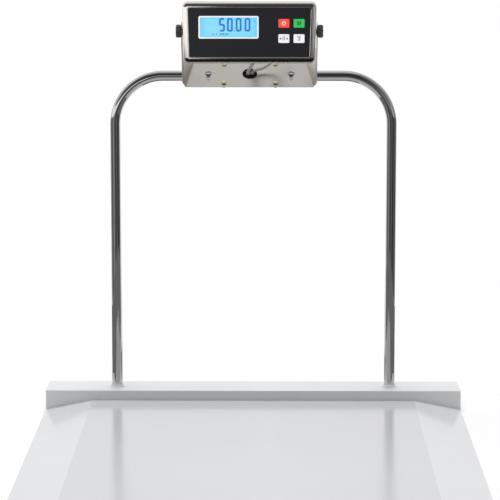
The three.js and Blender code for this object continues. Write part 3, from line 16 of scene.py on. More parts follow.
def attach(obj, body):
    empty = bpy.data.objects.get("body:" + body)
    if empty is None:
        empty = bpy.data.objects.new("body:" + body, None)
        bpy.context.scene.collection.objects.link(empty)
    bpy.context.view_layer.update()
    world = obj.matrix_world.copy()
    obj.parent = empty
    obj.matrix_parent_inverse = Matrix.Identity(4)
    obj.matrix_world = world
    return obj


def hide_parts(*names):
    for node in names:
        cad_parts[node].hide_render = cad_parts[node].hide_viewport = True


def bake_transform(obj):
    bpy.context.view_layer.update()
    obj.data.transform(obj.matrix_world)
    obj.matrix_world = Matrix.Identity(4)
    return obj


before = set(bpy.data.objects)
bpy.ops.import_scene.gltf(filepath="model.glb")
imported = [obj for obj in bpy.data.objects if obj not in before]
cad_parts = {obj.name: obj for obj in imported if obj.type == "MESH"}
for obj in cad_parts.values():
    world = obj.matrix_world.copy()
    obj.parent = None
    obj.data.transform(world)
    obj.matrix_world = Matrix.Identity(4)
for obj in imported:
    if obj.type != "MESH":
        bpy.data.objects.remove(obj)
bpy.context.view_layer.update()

log = logging.getLogger("scale")

Point = tuple[float, float, float]
Colour = tuple[float, float, float]

GAP = 0.0003  # between pieces that would otherwise touch
TINY = 1e-6
POST_X = 0.43  # how far each post stands from the middle
RAIL_Y = 0.62515
RAIL_Z = 1.048


@dataclass(frozen=True)
class Place:
    """A frame that a group of pieces is drawn in: its origin and its turn about X in degrees."""

    origin: Point = (0.0, 0.0, 0.0)
    tilt: float = 0.0

    @property
    def matrix(self) -> Matrix:
        """The transform from this frame to the scale's own."""
        return Matrix.Translation(self.origin) @ Matrix.Rotation(math.radians(self.tilt), 4, "X")

    def world(self, point: Sequence[float]) -> Vector:
        """The point of this frame, in the scale's own frame."""
        return self.matrix @ Vector(point)


FLOOR = Place()
BRACKET = Place((-0.011, RAIL_Y, RAIL_Z), 36.0)
INDICATOR = Place((-0.011, 0.504718, 1.190784), -1.0)


class Body(Enum):
    """The bodies that pieces ride on."""

    PLATFORM = "platform"
    INDICATOR = "indicator"
    KNOB_LEFT = "knob_left"
    KNOB_RIGHT = "knob_right"


# Shaders


class Value:
    """A number in a shader, which Python's operators work on."""

    def __init__(self, shader: "Shader", socket: bpy.types.NodeSocket) -> None:
        """Wraps one socket of the shader."""
        self.shader = shader
        self.socket = socket

    def __add__(self, other: "Value | float") -> "Value":
        """This value plus the other."""
        return self.shader.math("ADD", self, other)

    __radd__ = __add__

    def __sub__(self, other: "Value | float") -> "Value":
        """This value minus the other."""
        return self.shader.math("SUBTRACT", self, other)

    def __rsub__(self, other: float) -> "Value":
        """The other minus this value."""
        return self.shader.math("SUBTRACT", other, self)

    def __mul__(self, other: "Value | float") -> "Value":
        """This value times the other."""
        return self.shader.math("MULTIPLY", self, other)

    __rmul__ = __mul__

    def __truediv__(self, other: "Value | float") -> "Value":
        """This value divided by the other."""
        return self.shader.math("DIVIDE", self, other)

    def __abs__(self) -> "Value":
        """This value without its sign."""
        return self.shader.math("ABSOLUTE", self)

    def at_least(self, other: "Value | float") -> "Value":
        """The larger of the two."""
        return self.shader.math("MAXIMUM", self, other)

    def between(self, low: float, high: float) -> "Value":
        """A smooth step from 0 at low to 1 at high."""
        ends = {"Value": self, "From Min": low, "From Max": high}
        node = self.shader.node("MapRange", {"interpolation_type": "SMOOTHSTEP"}, ends)
        return Value(self.shader, node.outputs["Result"])


class Shader:
    """The node tree of a material or of the world."""

    def __init__(self, owner: "bpy.types.Material | bpy.types.World") -> None:
        """Empties the owner's tree.

        Args:
            owner: the material or world whose tree is filled.
        """
        owner.use_nodes = True
        self.owner = owner
        self.nodes = owner.node_tree.nodes
        self.links = owner.node_tree.links
        self.nodes.clear()

    @classmethod
    def material(cls, name: str) -> "Shader":
        """A new material's tree."""
        return cls(bpy.data.materials.new(name))

    def node(
        self,
        kind: str,
        settings: Mapping[str, Any] | None = None,
        values: Mapping[str | int, Any] | None = None,
    ) -> bpy.types.Node:
        """Adds a node, and gives it its settings and then its values.

        Args:
            kind: the node's type without its ShaderNode prefix.
            settings: the node's own settings; "stops" are a ramp's positions and colours.
            values: a value, a Value or a socket for each input, by its name or number.

        Returns:
            The new node.
        """
        node = self.nodes.new("ShaderNode" + kind)
        for name, setting in (settings or {}).items():
            if name == "stops":
                self.set_stops(node.color_ramp, setting)
            else:
                setattr(node, name, setting)
        for key, value in (values or {}).items():
            self.feed(self.input(node, key), value)
        return node

    @staticmethod
    def set_stops(ramp: bpy.types.ColorRamp, stops: Sequence[tuple[float, Colour]]) -> None:
        """Gives a ramp its stops.

        Args:
            ramp: the ramp of a Color Ramp node.
            stops: pairs of a position and a colour, in order.
        """
        while len(ramp.elements) < len(stops):
            ramp.elements.new(1.0)
        for element, (position, colour) in zip(ramp.elements, stops):
            element.position = position
            element.color = (*colour, 1.0)

    @staticmethod
    def input(node: bpy.types.Node, key: str | int) -> bpy.types.NodeSocket:
        """The node's live input of that name or number."""
        if isinstance(key, int):
            return node.inputs[key]
        return next(socket for socket in node.inputs if socket.enabled and socket.name == key)

    def feed(self, socket: bpy.types.NodeSocket, value: Any) -> None:
        """Sets or links one socket.

        Args:
            socket: the input.
            value: a number, a colour, a Value or a socket.
        """
        if isinstance(value, Value):
            value = value.socket
        if isinstance(value, bpy.types.NodeSocket):
            self.links.new(value, socket)
        elif socket.type == "RGBA":
            socket.default_value = (*value, 1.0)
        else:
            socket.default_value = value

    def output(self, surface: bpy.types.NodeSocket, kind: str = "OutputMaterial") -> None:
        """Ends the tree in this surface."""
        self.node(kind, None, {"Surface": surface})

    def principled(self, **values: Any) -> bpy.types.Node:
        """Adds the main shader and its output.

        Args:
            values: the inputs, with underscores for the spaces in their names.

        Returns:
            The Principled node.
        """
        inputs = {name.replace("_", " "): value for name, value in values.items()}
        node = self.node("BsdfPrincipled", None, inputs)
        self.output(node.outputs["BSDF"])
        return node

    def math(self, operation: str, *values: "Value | float") -> Value:
        """Adds a Math node on these values."""
        node = self.node("Math", {"operation": operation}, dict(enumerate(values)))
        return Value(self, node.outputs[0])

    def local(self, place: Place) -> bpy.types.NodeSocket:
        """The point that is shaded, in a frame of the object.

        Args:
            place: the frame.

        Returns:
            The vector's socket.
        """
        point = self.node("TexCoord").outputs["Object"]
        turn = (math.radians(place.tilt), 0.0, 0.0)
        values = {"Vector": point, "Location": place.origin, "Rotation": turn}
        return self.node("Mapping", {"vector_type": "TEXTURE"}, values).outputs["Vector"]

    def axes(self, vector: bpy.types.NodeSocket) -> tuple[Value, Value, Value]:
        """The three numbers of a vector."""
        parts = self.node("SeparateXYZ", None, {"Vector": vector}).outputs
        return Value(self, parts[0]), Value(self, parts[1]), Value(self, parts[2])

    def noise(
        self,
        where: bpy.types.NodeSocket,
        scale: float,
        detail: float = 2.0,
        stretch: Point = (1.0, 1.0, 1.0),
    ) -> Value:
        """A cloudy pattern from 0 to 1.

        Args:
            where: the point that is shaded.
            scale: how many features there are in a metre.
            detail: how many finer layers it has.
            stretch: how many times longer the features are along each axis.

        Returns:
            The pattern's value.
        """
        point = self.node("Mapping", {"vector_type": "TEXTURE"}, {"Vector": where, "Scale": stretch})
        values = {"Vector": point.outputs["Vector"], "Scale": scale, "Detail": detail}
        return Value(self, self.node("TexNoise", None, values).outputs[0])

    def cells(self, where: bpy.types.NodeSocket, scale: float) -> Value:
        """A random value for each crystal of a cell pattern."""
        node = self.node("TexVoronoi", None, {"Vector": where, "Scale": scale})
        return self.axes(node.outputs["Color"])[0]

    def edges(self, radius: float) -> Value:
        """A mask that is 1 on sharp edges.

        Args:
            radius: how far the mask reaches from an edge.

        Returns:
            The mask.
        """
        rounded = self.node("Bevel", {"samples": 4}, {"Radius": radius}).outputs["Normal"]
        flat = self.node("NewGeometry").outputs["Normal"]
        node = self.node("VectorMath", {"operation": "DOT_PRODUCT"}, {0: rounded, 1: flat})
        return (1 - Value(self, node.outputs["Value"])).between(0.01, 0.2)

    def shade(self, colour: Any, amount: Value) -> bpy.types.NodeSocket:
        """The colour made darker or lighter by an amount round 1."""
        if not isinstance(colour, bpy.types.NodeSocket):
            colour = Vector(colour)
        node = self.node("VectorMath", {"operation": "SCALE"}, {"Vector": colour, "Scale": amount})
        return node.outputs["Vector"]

    def mix(self, amount: Value, first: Any, second: Any) -> bpy.types.NodeSocket:
        """The first colour where the amount is 0, and the second where it is 1."""
        values = {"Factor": amount, "A": first, "B": second}
        return self.node("Mix", {"data_type": "RGBA"}, values).outputs[2]

    def bump(self, height: Value, depth: float, strength: float = 1.0) -> bpy.types.NodeSocket:
        """A normal that follows a height.

        Args:
            height: the pattern, from 0 to 1.
            depth: how high 1 is, in metres.
            strength: how much of it shows.

        Returns:
            The normal's socket.
        """
        values = {"Height": height, "Distance": depth, "Strength": strength}
        return self.node("Bump", None, values).outputs["Normal"]


# Finishes


@dataclass(frozen=True)
class Finish:
    """A surface finish.

    Attributes:
        name: its name.
        slot: the record's material slot that it belongs to; not used.
        colour: its main colour, linear.
        roughness: its mean roughness.
        place: the frame that its pattern follows.
    """

    name: str
    slot: str
    colour: Colour
    roughness: float
    place: Place = FLOOR

    @property
    def material(self) -> bpy.types.Material:
        """The finish's material, made when it is first asked for."""
        label = f"{self.name}_finish"
        found = bpy.data.materials.get(label)
        if found is None:
            shader = Shader.material(label)
            self.dress(shader)
            found = shader.owner
        return found

    def dress(self, shader: Shader) -> None:
        """Fills the material's tree; each kind of finish has its own way."""
        raise NotImplementedError


@dataclass(frozen=True)
class PowderCoat(Finish):
    """White powder coat with a fine orange peel, slightly worn on its edges, with painted light: lighter
    ramps and a painted highlight along its edges.

    Attributes:
        wear: how much of the steel shows through on the edges.
        ramp_start: where the ramps begin, beside the flat.
        ramp_painted_light: how much lighter the ramps are painted than the flat, a painted light for the
            brighter light that falls on them.
        painted_edge_highlight: how much lighter the paint is on its edges, a painted highlight.
    """

    wear: float = 0.3
    ramp_start: float = 0.0
    ramp_painted_light: float = 1.0
    painted_edge_highlight: float = 0.0

    def dress(self, shader: Shader) -> None:
        """Mottles, dulls and wears the paint, and paints light on it: lighter ramps and a highlight along its
        edges.
        """
        where = shader.local(self.place)
        tone = 0.975 + 0.03 * shader.noise(where, 3.0, 3.0) + 0.02 * shader.noise(where, 700.0)
        # painted light: the ramps are painted lighter than the flat, as if more light fell on them
        if self.ramp_start:
            side = abs(shader.axes(where)[0])
            ramp = side.between(self.ramp_start - 0.001, self.ramp_start + 0.001)
            tone = tone * (1 + (self.ramp_painted_light - 1) * ramp)
        scuffs = shader.noise(where, 40.0, 4.0, (1.0, 9.0, 1.0)).between(0.62, 0.8)
        # edge mask: for the worn steel on the edges and for the painted highlight along them
        edges = shader.edges(0.0014)
        worn = edges * shader.noise(where, 90.0, 3.0).between(0.45, 0.7) * self.wear
        # painted highlight: the paint is made lighter along the edges
        paint = shader.shade(self.colour, tone + self.painted_edge_highlight * edges - 0.03 * scuffs)
        peel = shader.noise(where, 380.0, 1.0)
        shader.principled(
            Base_Color=shader.mix(worn, paint, (0.36, 0.36, 0.35)),
            Roughness=self.roughness + 0.08 * shader.noise(where, 11.0, 3.0) + 0.08 * scuffs,
            Normal=shader.bump(peel, 0.00012, 0.35),
        )


@dataclass(frozen=True)
class Chrome(Finish):
    """Bright chrome on a bent tube, with faint smudges from hands."""

    def dress(self, shader: Shader) -> None:
        """Smudges the plating and gives it a trace of the tube's waviness."""
        where = shader.local(self.place)
        smudge = shader.noise(where, 16.0, 4.0).between(0.5, 0.75)
        waves = shader.noise(where, 26.0, 1.0)
        shader.principled(
            Base_Color=shader.shade(self.colour, 1 - 0.06 * smudge),
            Metallic=1.0,
            Roughness=self.roughness + 0.05 * smudge,
            Normal=shader.bump(waves, 0.0002, 0.2),
        )


@dataclass(frozen=True)
class BrushedSteel(Finish):
    """Stainless sheet with fine lines from its grinding.

    Attributes:
        grain: how deep the lines are, in metres.
        contrast: how much they change the tone.
    """

    grain: float = 0.00002
    contrast: float = 0.12

    def dress(self, shader: Shader) -> None:
        """Draws the grinding lines along X and a few stains."""
        where = shader.local(self.place)
        lines = shader.noise(where, 900.0, 2.0, (60.0, 1.0, 1.0))
        bands = shader.noise(where, 60.0, 2.0, (12.0, 1.0, 1.0))
        stain = shader.noise(where, 14.0, 4.0).between(0.5, 0.8)
        tone = 1 + self.contrast * (lines - 0.5) + 0.6 * self.contrast * (bands - 0.5) - 0.05 * stain
        shader.principled(
            Base_Color=shader.shade(self.colour, tone),
            Metallic=1.0,
            Roughness=self.roughness + 0.12 * (lines - 0.5) + 0.06 * stain,
            Normal=shader.bump(lines, self.grain, 0.5),
        )


@dataclass(frozen=True)
class PlatedSteel(Finish):
    """Zinc or nickel plate on a small turned or milled part.

    Attributes:
        tarnish: the colour of its stains.
    """

    tarnish: Colour = (0.3, 0.29, 0.27)

    def dress(self, shader: Shader) -> None:
        """Clouds the plating with its tarnish."""
        where = shader.local(self.place)
        cloud = shader.noise(where, 160.0, 4.0).between(0.45, 0.75)
        plate = shader.mix(0.5 * cloud, self.colour, self.tarnish)
        shader.principled(
            Base_Color=plate,
            Metallic=1.0,
            Roughness=self.roughness + 0.15 * cloud,
            Normal=shader.bump(shader.noise(where, 1400.0), 0.00002, 0.4),
        )


@dataclass(frozen=True)
class Galvanised(Finish):
    """Hot-dipped steel with its zinc crystals."""

    def dress(self, shader: Shader) -> None:
        """Gives each crystal a tone and gloss of its own."""
        where = shader.local(self.place)
        crystal = shader.cells(where, 110.0)
        shader.principled(
            Base_Color=shader.shade(self.colour, 0.85 + 0.25 * crystal),
            Metallic=1.0,
            Roughness=self.roughness + 0.2 * crystal,
            Normal=shader.bump(shader.noise(where, 300.0, 3.0), 0.00004, 0.5),
        )


@dataclass(frozen=True)
class Moulded(Finish):
    """Moulded plastic or rubber with a fine grain.

    Attributes:
        grain: how deep the grain is, in metres.
        dust: how much paler the worn and dusty parts are.
        specular: how strongly it shines.
    """

    grain: float = 0.00004
    dust: float = 0.02
    specular: float = 0.5

    def dress(self, shader: Shader) -> None:
        """Grains the surface and dusts it."""
        where = shader.local(self.place)
        dusty = shader.noise(where, 45.0, 5.0).between(0.4, 0.8)
        rubbed = shader.edges(0.0008) * 0.5
        pale = tuple(part + self.dust * 2 for part in self.colour)
        shader.principled(
            Base_Color=shader.mix(0.5 * dusty + rubbed, self.colour, pale),
            Roughness=self.roughness + 0.1 * dusty,
            Specular_IOR_Level=self.specular,
            Normal=shader.bump(shader.noise(where, 1100.0, 2.0), self.grain, 0.5),
        )


@dataclass(frozen=True)
class Film(Finish):
    """Printed polyester film, with the fine tooth of its hard coat.

    Attributes:
        alpha: how much of it is opaque.
        specular: how strongly it shines.
        glow: how brightly it glows, a painted light that lifts its colour though nothing lights it from
            behind.
    """

    alpha: float = 1.0
    specular: float = 0.5
    glow: float = 0.0

    def dress(self, shader: Shader) -> None:
        """Gives the film its tooth and the faint haze of wiping, and a painted glow in its own colour."""
        where = shader.local(self.place)
        haze = shader.noise(where, 22.0, 4.0, (4.0, 1.0, 1.0)).between(0.45, 0.8)
        tooth = shader.noise(where, 2400.0, 1.0)
        ink = shader.shade(self.colour, 0.97 + 0.06 * haze + 0.05 * (tooth - 0.5))
        shader.principled(
            Base_Color=ink,
            Roughness=self.roughness + 0.08 * haze,
            Alpha=self.alpha,
            Specular_IOR_Level=self.specular,
            # painted light: the film glows in its own colour by its glow
            Emission_Color=ink,
            Emission_Strength=self.glow,
            Normal=shader.bump(tooth, 0.00002, 0.3),
        )


@dataclass(frozen=True)
class Ink(Finish):
    """Screen ink, with its slightly uneven cover.

    Attributes:
        glow: how brightly it glows, a painted light that lifts the ink though nothing lights it from behind.
    """

    glow: float = 0.0

    def dress(self, shader: Shader) -> None:
        """Varies the ink's cover, and gives it a painted glow in its own colour."""
        where = shader.local(self.place)
        cover = shader.noise(where, 900.0, 3.0)
        ink = shader.shade(self.colour, 0.94 + 0.1 * cover)
        shader.principled(
            Base_Color=ink,
            Roughness=self.roughness + 0.1 * cover,
            # painted light: the ink glows in its own colour by its glow
            Emission_Color=ink,
            Emission_Strength=self.glow,
        )


@dataclass(frozen=True)
class Backlight(Finish):
    """A lit display.

    Attributes:
        edge: the colour near its ends, where its lamps are.
        middle: the display's centre in its frame, as X and Z.
        half: half its width and height.
    """

    edge: Colour = (0.1, 0.62, 1.0)
    middle: tuple[float, float] = (-0.063, 0.0162)
    half: tuple[float, float] = (0.0865, 0.0295)

    def dress(self, shader: Shader) -> None:
        """Lights it evenly in the middle and more deeply near its border."""
        where = shader.local(self.place)
        x, _, z = shader.axes(where)
        across = abs(x - self.middle[0]) / self.half[0]
        up = abs(z - self.middle[1]) / self.half[1]
        border = across.at_least(up).between(0.7, 1.02)
        cloud = shader.noise(where, 18.0, 2.0)
        glow = shader.mix(border * 0.75, self.colour, self.edge)
        shader.principled(
            Base_Color=(0.02, 0.05, 0.06),
            Roughness=self.roughness,
            Emission_Color=shader.shade(glow, 0.94 + 0.1 * cloud),
            Emission_Strength=1.0,
        )


@dataclass(frozen=True)
class Segment(Finish):
    """The dark segments of a lit display."""

    def dress(self, shader: Shader) -> None:
        """Lets the backlight through a little, unevenly."""
        where = shader.local(self.place)
        shader.principled(
            Base_Color=(0.01, 0.03, 0.05),
            Roughness=self.roughness,
            Emission_Color=shader.shade(self.colour, 0.9 + 0.2 * shader.noise(where, 60.0, 2.0)),
            Emission_Strength=1.0,
        )


@dataclass(frozen=True)
class Board(Finish):
    """A circuit board's green lacquer over its copper tracks."""

    def dress(self, shader: Shader) -> None:
        """Shows the tracks as paler lines under the lacquer."""
        where = shader.local(self.place)
        lines = shader.node("TexWave", {"bands_direction": "DIAGONAL"}, {"Vector": where, "Scale": 60.0})
        track = Value(shader, lines.outputs[1]).between(0.6, 0.75)
        track = track * shader.cells(where, 70.0).between(0.4, 0.5)
        pale = tuple(1.8 * part for part in self.colour)
        shader.principled(
            Base_Color=shader.mix(track, self.colour, pale),
            Roughness=self.roughness,
            Normal=shader.bump(track, 0.00004, 0.6),
        )


# the deck's ramps carry painted light: they are painted lighter than its flat
DECK_PAINT = PowderCoat(
    "deck_paint", "painted_deck", (0.665, 0.67, 0.69), 0.12, ramp_start=0.505, ramp_painted_light=1.15
)
# the beam's edges carry a painted highlight
BEAM_PAINT = PowderCoat("beam_paint", "painted_beam", (0.825, 0.83, 0.84), 0.34, wear=0.1, painted_edge_highlight=0.2)
RAIL_CHROME = Chrome("rail_chrome", "chrome_tube", (0.58, 0.58, 0.59), 0.035)
BRACKET_STEEL = BrushedSteel("bracket_steel", "bracket_stainless", (0.52, 0.49, 0.46), 0.3, BRACKET)
HOUSING_STEEL = BrushedSteel(
    "housing_steel", "housing_stainless", (0.80, 0.775, 0.75), 0.1, INDICATOR, 0.000006, 0.06
)
SCREW_ZINC = PlatedSteel(
    "screw_zinc", "yellow_zinc", (0.92, 0.8, 0.48), 0.22, BRACKET, (0.5, 0.36, 0.15)
)
BOLT_ZINC = PlatedSteel("bolt_zinc", "zinc_steel", (0.62, 0.63, 0.65), 0.26)
COVER_SCREW = PlatedSteel("cover_screw_steel", "zinc_steel", (0.6, 0.59, 0.57), 0.24, INDICATOR)
CELL_STEEL = PlatedSteel("cell_steel", "cell_steel", (0.5, 0.5, 0.5), 0.34)
DIPPED_STEEL = Galvanised("dipped_steel", "galvanised_steel", (0.55, 0.56, 0.57), 0.32)
FOOT_RUBBER = Moulded("foot_rubber", "foot_rubber", (0.018, 0.018, 0.018), 0.6)
# black rubber, with painted shade: darker and far less shiny than the foot rubber, for the shade inside the
# cable hole
SHADED_GROMMET_RUBBER = Moulded(
    "shaded_grommet_rubber", "foot_rubber", (0.006, 0.006, 0.006), 0.6, BRACKET, dust=0.003, specular=0.1
)
BOX_PLASTIC = Moulded("box_plastic", "grey_plastic", (0.33, 0.34, 0.34), 0.42, dust=0.03)
KNOB_PLASTIC = Moulded("knob_plastic", "knob_plastic", (0.065, 0.065, 0.068), 0.4, INDICATOR, dust=0.03)
BATTERY_CASE = Moulded("battery_case", "battery_case", (0.09, 0.09, 0.1), 0.4, INDICATOR)
JACKET_BLACK = Moulded("jacket_black", "black_cable", (0.02, 0.02, 0.02), 0.45)
JACKET_GREY = Moulded("jacket_grey", "grey_cable", (0.40, 0.385, 0.37), 0.42, BRACKET, dust=0.02)
PANEL_FILM = Film("panel_film", "panel_film", (0.028, 0.0285, 0.032), 0.3, INDICATOR, specular=0.3)
WINDOW_CLEAR = Film("window_clear", "window_film", (0.85, 0.95, 1.0), 0.12, INDICATOR, 0.03)
# the keys glow, a painted light that brightens their colour
KEY_RED = Film("key_red", "key_red", (0.95, 0.068, 0.04), 0.32, INDICATOR, glow=0.5)
KEY_GREEN = Film("key_green", "key_green", (0.026, 0.52, 0.1), 0.32, INDICATOR, glow=0.5)
KEY_WHITE = Film("key_white", "key_white", (0.84, 0.845, 0.86), 0.32, INDICATOR, glow=0.5)
# the white ink glows, a painted light
WHITE_INK = Ink("white_ink", "window_film", (0.88, 0.89, 0.9), 0.35, INDICATOR, 0.45)
DARK_INK = Ink("dark_ink", "key_white", (0.035, 0.035, 0.04), 0.35, INDICATOR)
DISPLAY_LIGHT = Backlight("display_light", "lcd", (0.24, 0.71, 1.0), 0.2, INDICATOR)
DISPLAY_SEGMENT = Segment("display_segment", "lcd", (0.0, 0.17, 0.6), 0.3, INDICATOR)
CIRCUIT = Board("circuit", "circuit_board", (0.015, 0.11, 0.05), 0.3)


# Meshes


class Shape:
    """A mesh in the making, shaped by bmesh operators."""

    def __init__(self) -> None:
        """Starts empty."""
        self.bm = bmesh.new()

    @classmethod
    def block(cls, size: Point, middle: Point = (0.0, 0.0, 0.0)) -> "Shape":
        """A box of that size round its middle."""
        shape = cls()
        bmesh.ops.create_cube(shape.bm, size=1.0)
        bmesh.ops.scale(shape.bm, vec=size, verts=shape.bm.verts)
        bmesh.ops.translate(shape.bm, vec=middle, verts=shape.bm.verts)
        return shape

    @classmethod
    def turned(cls, profile: Sequence[tuple[float, float]], steps: int = 48) -> "Shape":
        """Spins a profile round Z.

        Args:
            profile: pairs of radius and height, in order.
            steps: how many sides the shape has.

        Returns:
            The shape.
        """
        shape = cls()
        rings = [shape.bm.verts.new((radius, 0.0, height)) for radius, height in profile]
        line = [shape.bm.edges.new(pair) for pair in zip(rings, rings[1:])]
        turn = {"angle": math.tau, "steps": steps, "use_merge": True}
        bmesh.ops.spin(shape.bm, geom=rings + line, cent=(0, 0, 0), axis=(0, 0, 1), **turn)
        return shape.tidy()

    @classmethod
    def rod(
        cls, radius: float, start: Sequence[float], end: Sequence[float], sides: int = 32
    ) -> "Shape":
        """A round bar between two points.

        Args:
            radius: the bar's radius.
            start: the middle of its first end.
            end: the middle of its other end.
            sides: how many sides it has.

        Returns:
            The shape.
        """
        shape = cls()
        along = Vector(end) - Vector(start)
        turn = along.to_track_quat("Z", "Y").to_matrix().to_4x4()
        matrix = Matrix.Translation(Vector(start) + along / 2) @ turn
        size = {"radius1": radius, "radius2": radius, "depth": along.length}
        bmesh.ops.create_cone(shape.bm, cap_ends=True, segments=sides, matrix=matrix, **size)
        return shape

    @classmethod
    def node(cls, name: str) -> "Shape":
        """A merged copy of a CAD node's mesh, with its flat faces joined."""
        shape = cls()
        shape.bm.from_mesh(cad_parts[name].data)
        shape.tidy()
        bmesh.ops.dissolve_limit(
            shape.bm, angle_limit=math.radians(0.5), verts=shape.bm.verts, edges=shape.bm.edges
        )
        return shape

    @classmethod
    def letters(cls, text: str, size: float, depth: float) -> "Shape":
        """Raised characters, centred, that face along -Y.

        Args:
            text: the characters, with line breaks.
            size: their height.
            depth: how far they stand out.

        Returns:
            The shape.
        """
        curve = bpy.data.curves.new("letters", "FONT")
        curve.body = text
        curve.size = size
        curve.space_line = 0.85
        curve.align_x = curve.align_y = "CENTER"
        curve.extrude = depth / 2
        shape = cls()
        shape._take(_apply(bpy.data.objects.new("letters", curve)))
        bmesh.ops.rotate(shape.bm, matrix=Matrix.Rotation(math.pi / 2, 3, "X"), verts=shape.bm.verts)
        return shape

    def _take(self, mesh: bpy.types.Mesh) -> None:
        """Fills the shape from a mesh, and removes the mesh."""
        self.bm.clear()
        self.bm.from_mesh(mesh)
        bpy.data.meshes.remove(mesh)

    def _object(self) -> bpy.types.Object:
        """A temporary object that holds the shape."""
        mesh = bpy.data.meshes.new("shape")
        self.bm.to_mesh(mesh)
        return bpy.data.objects.new("shape", mesh)

    def tidy(self) -> "Shape":
        """Merges its doubles and turns its faces outwards."""
        bmesh.ops.remove_doubles(self.bm, verts=self.bm.verts, dist=TINY)
        bmesh.ops.recalc_face_normals(self.bm, faces=self.bm.faces)
        return self

    def move(self, matrix: Matrix) -> "Shape":
        """Moves the whole shape."""
        bmesh.ops.transform(self.bm, matrix=matrix, verts=self.bm.verts)
        return self

    def shift(self, x: float = 0.0, y: float = 0.0, z: float = 0.0) -> "Shape":
        """Slides the whole shape."""
        return self.move(Matrix.Translation((x, y, z)))

    def turn(self, degrees: float, axis: str) -> "Shape":
        """Turns the whole shape about an axis through the origin."""
        return self.move(Matrix.Rotation(math.radians(degrees), 4, axis))

    def add(self, *others: "Shape") -> "Shape":
        """Adds other shapes to this one, as they are."""
        for other in others:
            mesh = bpy.data.meshes.new("added")
            other.bm.to_mesh(mesh)
            self.bm.from_mesh(mesh)
            bpy.data.meshes.remove(mesh)
        return self

    def bevel(
        self, width: float, steps: int = 3, which: Callable[[bmesh.types.BMEdge], bool] | None = None
    ) -> "Shape":
        """Rounds edges.

        Args:
            width: how far from the edge the round starts.
            steps: how many faces it has.
            which: picks the edges; without it, every edge of more than 30 degrees is rounded.

        Returns:
            This shape.
        """
        pick = which or (lambda edge: edge.calc_face_angle(0.0) > math.radians(30))
        edges = [edge for edge in self.bm.edges if pick(edge)]
        bmesh.ops.bevel(
            self.bm, geom=edges, offset=width, segments=steps, profile=0.5,
            affect="EDGES", clamp_overlap=True, material=-1,
        )
        return self

    def _combine(self, operation: str, tools: Iterable["Shape"]) -> "Shape":
        """Runs a boolean with each tool."""
        body = self._object()
        others = [tool._object() for tool in tools]
        for other in others:
            bpy.context.scene.collection.objects.link(other)
            step = body.modifiers.new("combine", "BOOLEAN")
            step.operation = operation
            step.solver = "EXACT"
            step.object = other
        self._take(_apply(body))
        for other in others:
            bpy.data.meshes.remove(other.data)
        return self

    def carve(self, *tools: "Shape") -> "Shape":
        """Cuts the tools out of the shape."""
        return self._combine("DIFFERENCE", tools)

    def fuse(self, *others: "Shape") -> "Shape":
        """Joins the others to the shape in one skin."""
        return self._combine("UNION", others)

    def thicken(self, wall: float) -> "Shape":
        """Gives an open surface a wall on its inner side."""
        body = self._object()
        step = body.modifiers.new("wall", "SOLIDIFY")
        step.thickness = wall
        step.offset = -1.0
        self._take(_apply(body))
        return self

    def piece(
        self,
        name: str,
        finish: Finish,
        body: Body | str,
        stands_for: str | None = None,
        sharp: float = 30.0,
        weighted: bool = True,
    ) -> bpy.types.Object:
        """Makes the finished piece and lets it ride on its body.

        Args:
            name: the piece's name.
            finish: its finish.
            body: the body it moves with.
            stands_for: the CAD node that it replaces.
            sharp: the angle in degrees from which an edge looks sharp.
            weighted: whether flat faces keep their own normals beside rounds.

        Returns:
            The piece's object.
        """
        mesh = bpy.data.meshes.new(name)
        self.bm.to_mesh(mesh)
        self.bm.free()
        mesh.shade_smooth()
        mesh.set_sharp_from_angle(angle=math.radians(sharp))
        mesh.materials.clear()
        mesh.materials.append(finish.material)
        made = bpy.data.objects.new(name, mesh)
        bpy.context.scene.collection.objects.link(made)
        if weighted:
            made.modifiers.new("normals", "WEIGHTED_NORMAL").keep_sharp = True
        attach(made, body.value if isinstance(body, Body) else body)
        if stands_for:
            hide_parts(stands_for)
        return made


def _apply(source: bpy.types.Object) -> bpy.types.Mesh:
    """The mesh of an object with its modifiers done; the object itself is removed."""
    bpy.context.scene.collection.objects.link(source)
    graph = bpy.context.evaluated_depsgraph_get()
    mesh = bpy.data.meshes.new_from_object(source.evaluated_get(graph))
    data = source.data
    bpy.data.objects.remove(source)
    holder = bpy.data.curves if isinstance(data, bpy.types.Curve) else bpy.data.meshes
    holder.remove(data)
    return mesh


